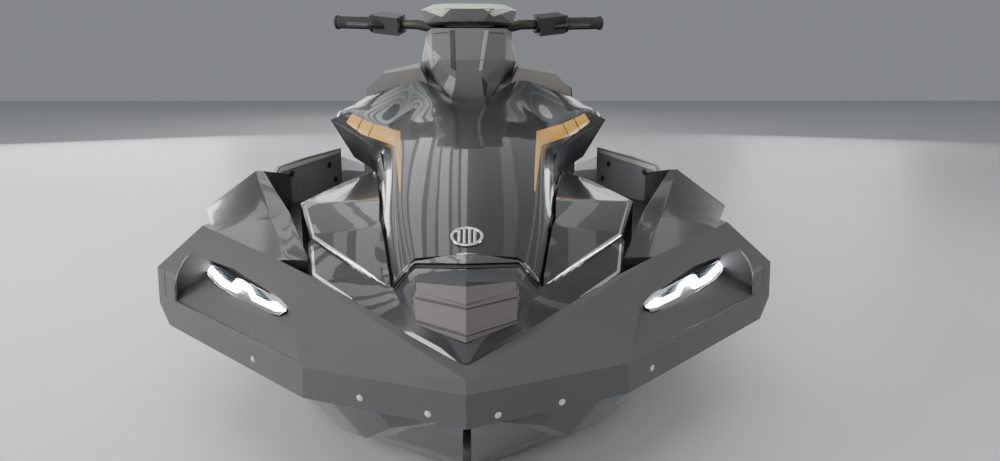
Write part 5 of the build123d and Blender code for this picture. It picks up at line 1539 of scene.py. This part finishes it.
@dataclass
class Seats:
    """Front and rear cushions."""

    craft: Craft
    voxel: float = 0.007
    shrink: float = 0.007
    cap: float = 0.013
    frames: int = 20
    quality: int = 5
    pressure: float = 4.0
    foot: float = -0.6
    top: float = 0.25
    seam_width: float = 0.006
    channel_depth: float = 0.0055
    channel_width: float = 0.007
    channel_fade: float = 0.012
    channels: dict[str, tuple[float, ...]] = field(
        default_factory=lambda: {
            "front_seat": (1.735, 1.815, 1.895, 1.975, 2.055, 2.150, 2.215),
            "rear_seat": (2.420, 2.500, 2.580, 2.660, 2.740, 2.820, 2.900),
        }
    )
    channel_reach: float = 0.108

    def build(self) -> None:
        """Makes the cushions."""
        for node in self.channels:
            self._cushion(node)

    def _cushion(self, node: str) -> None:
        """A vinyl cushion, blown up as cloth and then sewn across."""
        mesh = self.craft.copied(node)
        mesh.normal_update()
        for vert in mesh.verts:
            vert.co -= vert.normal * self.shrink
        bmesh.ops.recalc_face_normals(mesh, faces=mesh.faces)
        piece = new_piece(node + "_cover", mesh, Coat.VINYL)
        remesh = piece.modifiers.new("even", "REMESH")
        remesh.mode = "VOXEL"
        remesh.voxel_size = self.voxel
        remesh.use_smooth_shade = True
        even = baked(piece)
        piece.modifiers.clear()
        even.to_mesh(piece.data)
        even.free()
        self._inflate(piece)
        self._sew(piece, node)
        subdivide(piece, 1)
        finish_piece(piece, self.craft.bodies[node], Coat.VINYL, node)

    def _inflate(self, piece: bpy.types.Object) -> None:
        """Blows the cover up as cloth and holds its foot where it rests."""
        start = [(vert.co.copy(), vert.normal.copy()) for vert in piece.data.vertices]
        cloth = piece.modifiers.new("cover", "CLOTH")
        cloth.settings.quality = self.quality
        cloth.settings.use_pressure = True
        cloth.settings.uniform_pressure_force = self.pressure
        cloth.settings.effector_weights.gravity = 0.0
        cloth.point_cache.frame_end = self.frames
        scene = bpy.context.scene
        for frame in range(1, self.frames + 1):
            scene.frame_set(frame)
        blown = baked(piece)
        places = [vert.co.copy() for vert in blown.verts]
        blown.free()
        piece.modifiers.clear()
        scene.frame_set(1)
        for vert, place, (rest, normal) in zip(piece.data.vertices, places, start):
            move = place - rest
            if normal.z < self.foot:
                move = Vector()
            if move.length > self.cap:
                move = move.normalized() * self.cap
            vert.co = rest + move

    def _sew(self, piece: bpy.types.Object, node: str) -> None:
        """Presses sewn channels across the top and a seam round its edge."""
        for vert in piece.data.vertices:
            if vert.normal.z < self.top:
                continue
            station = vert.co.y + HALF_LENGTH
            inside = self.channel_reach - abs(vert.co.x)
            press = 0.0
            if inside > 0.0:
                for channel in self.channels[node]:
                    press = max(press, math.exp(-(((station - channel) / self.channel_width) ** 2)))
            press *= min(1.0, max(0.0, inside) / self.channel_fade)
            press = max(press, math.exp(-((inside / self.seam_width) ** 2)))
            vert.co -= vert.normal * (self.channel_depth * press)


@dataclass
class Bottom:
    """Hull, jet drive and stern fittings."""

    craft: Craft

    def build(self) -> None:
        """Makes the pieces below the deck."""
        skin = self.craft.skin
        skin("hull", Coat.GELCOAT, width=0.004, segments=3, angle=12.0)
        skin("sponsons", Coat.BLACK, width=0.003)
        self.craft.dressed("engine_block", Coat.IRON)
        for node in ("jet_housing", "jet_outlet", "steering_nozzle", "ride_plate", "intake_grate"):
            skin(node, Coat.ALUMINIUM, width=0.001)
        for node in ("impeller", "grab_handle", "boarding_step", "step_brackets", "stern_eyes"):
            skin(node, Coat.STAINLESS, width=0.0008)
        skin("reverse_bucket", Coat.BLACK, width=0.002)
        skin("bow_eye", Coat.BLACK, width=0.002)


@dataclass
class Studio:
    """Floor, lights and camera."""

    sight: Sight
    height: float = 3.3
    # Strips over the starboard half, which the lid mirrors, and weak ones to port: X, width, radiance
    strips: tuple[tuple[float, float, float], ...] = (
        (-2.75, 0.55, 1.3), (-2.10, 0.30, 1.6), (-1.70, 0.22, 1.5), (-1.32, 0.10, 0.9), (-1.12, 0.17, 1.3),
        (-0.92, 0.12, 1.0), (-0.74, 0.16, 1.5), (-0.55, 0.10, 1.1), (-0.40, 0.13, 1.5), (-0.24, 0.09, 1.1),
        (-0.10, 0.10, 1.4), (0.55, 0.16, 0.25), (1.15, 0.20, 0.5), (2.30, 0.40, 0.6),
    )
    strip_middle: float = 6.0
    strip_length: float = 16.0
    # Name, place, aim, size and power of each soft box
    boxes: tuple[tuple[str, Point, Point | None, tuple[float, float], float], ...] = (
        ("ceiling", (0.0, 2.0, 7.0), None, (34.0, 34.0), 380.0),
        ("overhead", (0.0, -2.4, 3.6), (0.0, -0.8, 0.3), (2.6, 1.2), 30.0),
        ("window_left", (-3.2, -2.2, 1.5), (0.0, -0.9, 0.3), (1.8, 1.6), 105.0),
        ("window_right", (3.6, -1.6, 1.6), (0.0, -0.8, 0.4), (1.2, 1.4), 42.0),
        ("window_far_left", (-4.6, 6.0, 1.7), (0.0, -0.8, 0.5), (3.4, 2.6), 150.0),
        ("window_far_right", (4.4, 6.4, 1.7), (0.0, -0.8, 0.5), (2.0, 2.4), 50.0),
        ("front_fill", (-1.2, -5.0, 1.4), (0.0, -1.4, 0.4), (2.6, 1.6), 48.0),
        ("back_fill", (0.0, 5.4, 2.6), (0.0, 0.8, 0.5), (4.0, 1.4), 20.0),
    )
    sky: Colour = (0.88, 0.92, 0.97)
    sky_strength: float = 0.27
    floor_reach: float = 30.0
    near_clip: float = 0.05

    def build(self) -> None:
        """Sets up the surroundings."""
        self._floor()
        self._lights()
        self._camera()

    def _floor(self) -> None:
        """A wide pale floor at the waterline."""
        mesh = bmesh.new()
        bmesh.ops.create_grid(mesh, x_segments=2, y_segments=2, size=self.floor_reach)
        floor = new_piece("studio_floor", mesh, Coat.FLOOR, smooth=False)

    def _area(
        self, name: str, place: Point, aim: Point | None, size: tuple[float, float], power: float
    ) -> None:
        """A rectangular lamp.

        Args:
            name: its name.
            place: where it hangs.
            aim: the point that it faces, or None for straight down.
            size: its width and length.
            power: its power in watts.
        """
        light = bpy.data.lights.new(name, "AREA")
        light.shape = "RECTANGLE"
        light.size, light.size_y = size
        light.energy = power
        lamp = bpy.data.objects.new(name, light)
        lamp.location = place
        lamp.visible_camera = False
        if aim:
            lamp.rotation_euler = (Vector(aim) - Vector(place)).to_track_quat("-Z", "Y").to_euler()
        bpy.context.scene.collection.objects.link(lamp)

    def _lights(self) -> None:
        """Ceiling strips and soft boxes at the sides over a pale world."""
        world = bpy.data.worlds.new("studio")
        world.use_nodes = True
        backdrop = world.node_tree.nodes["Background"]
        backdrop.inputs["Color"].default_value = (*self.sky, 1.0)
        backdrop.inputs["Strength"].default_value = self.sky_strength
        bpy.context.scene.world = world
        for index, (x, width, radiance) in enumerate(self.strips):
            size = (width, self.strip_length)
            power = radiance * math.pi * width * self.strip_length
            self._area(f"ceiling_strip_{index}", (x, self.strip_middle, self.height), None, size, power)
        for box in self.boxes:
            self._area(*box)

    def _camera(self) -> None:
        """The camera."""
        data = bpy.data.cameras.new("camera")
        data.sensor_width = self.sight.sensor
        data.lens = self.sight.focal
        data.clip_start = self.near_clip
        camera = bpy.data.objects.new("camera", data)
        camera.location = self.sight.eye
        camera.rotation_euler = self.sight.turn()
        bpy.context.scene.collection.objects.link(camera)
        bpy.context.scene.camera = camera


def corners(box: Iterable[Sequence[float]]) -> list[list[float]]:
    """A box as plain lists of numbers."""
    return [[float(value) for value in corner] for corner in box]


def main() -> None:
    """Builds every sub-assembly."""
    logging.basicConfig(level=logging.INFO, format="%(name)s: %(message)s")
    craft = Craft(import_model())
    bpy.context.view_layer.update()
    sight = Sight()
    Studio(sight).build()
    for part in (Lamps, Bow, FrontHatch, Topsides, Helm):
        part(craft, sight).build()
    for part in (Seats, Bottom):
        part(craft).build()


if __name__ == "__main__":
    main()
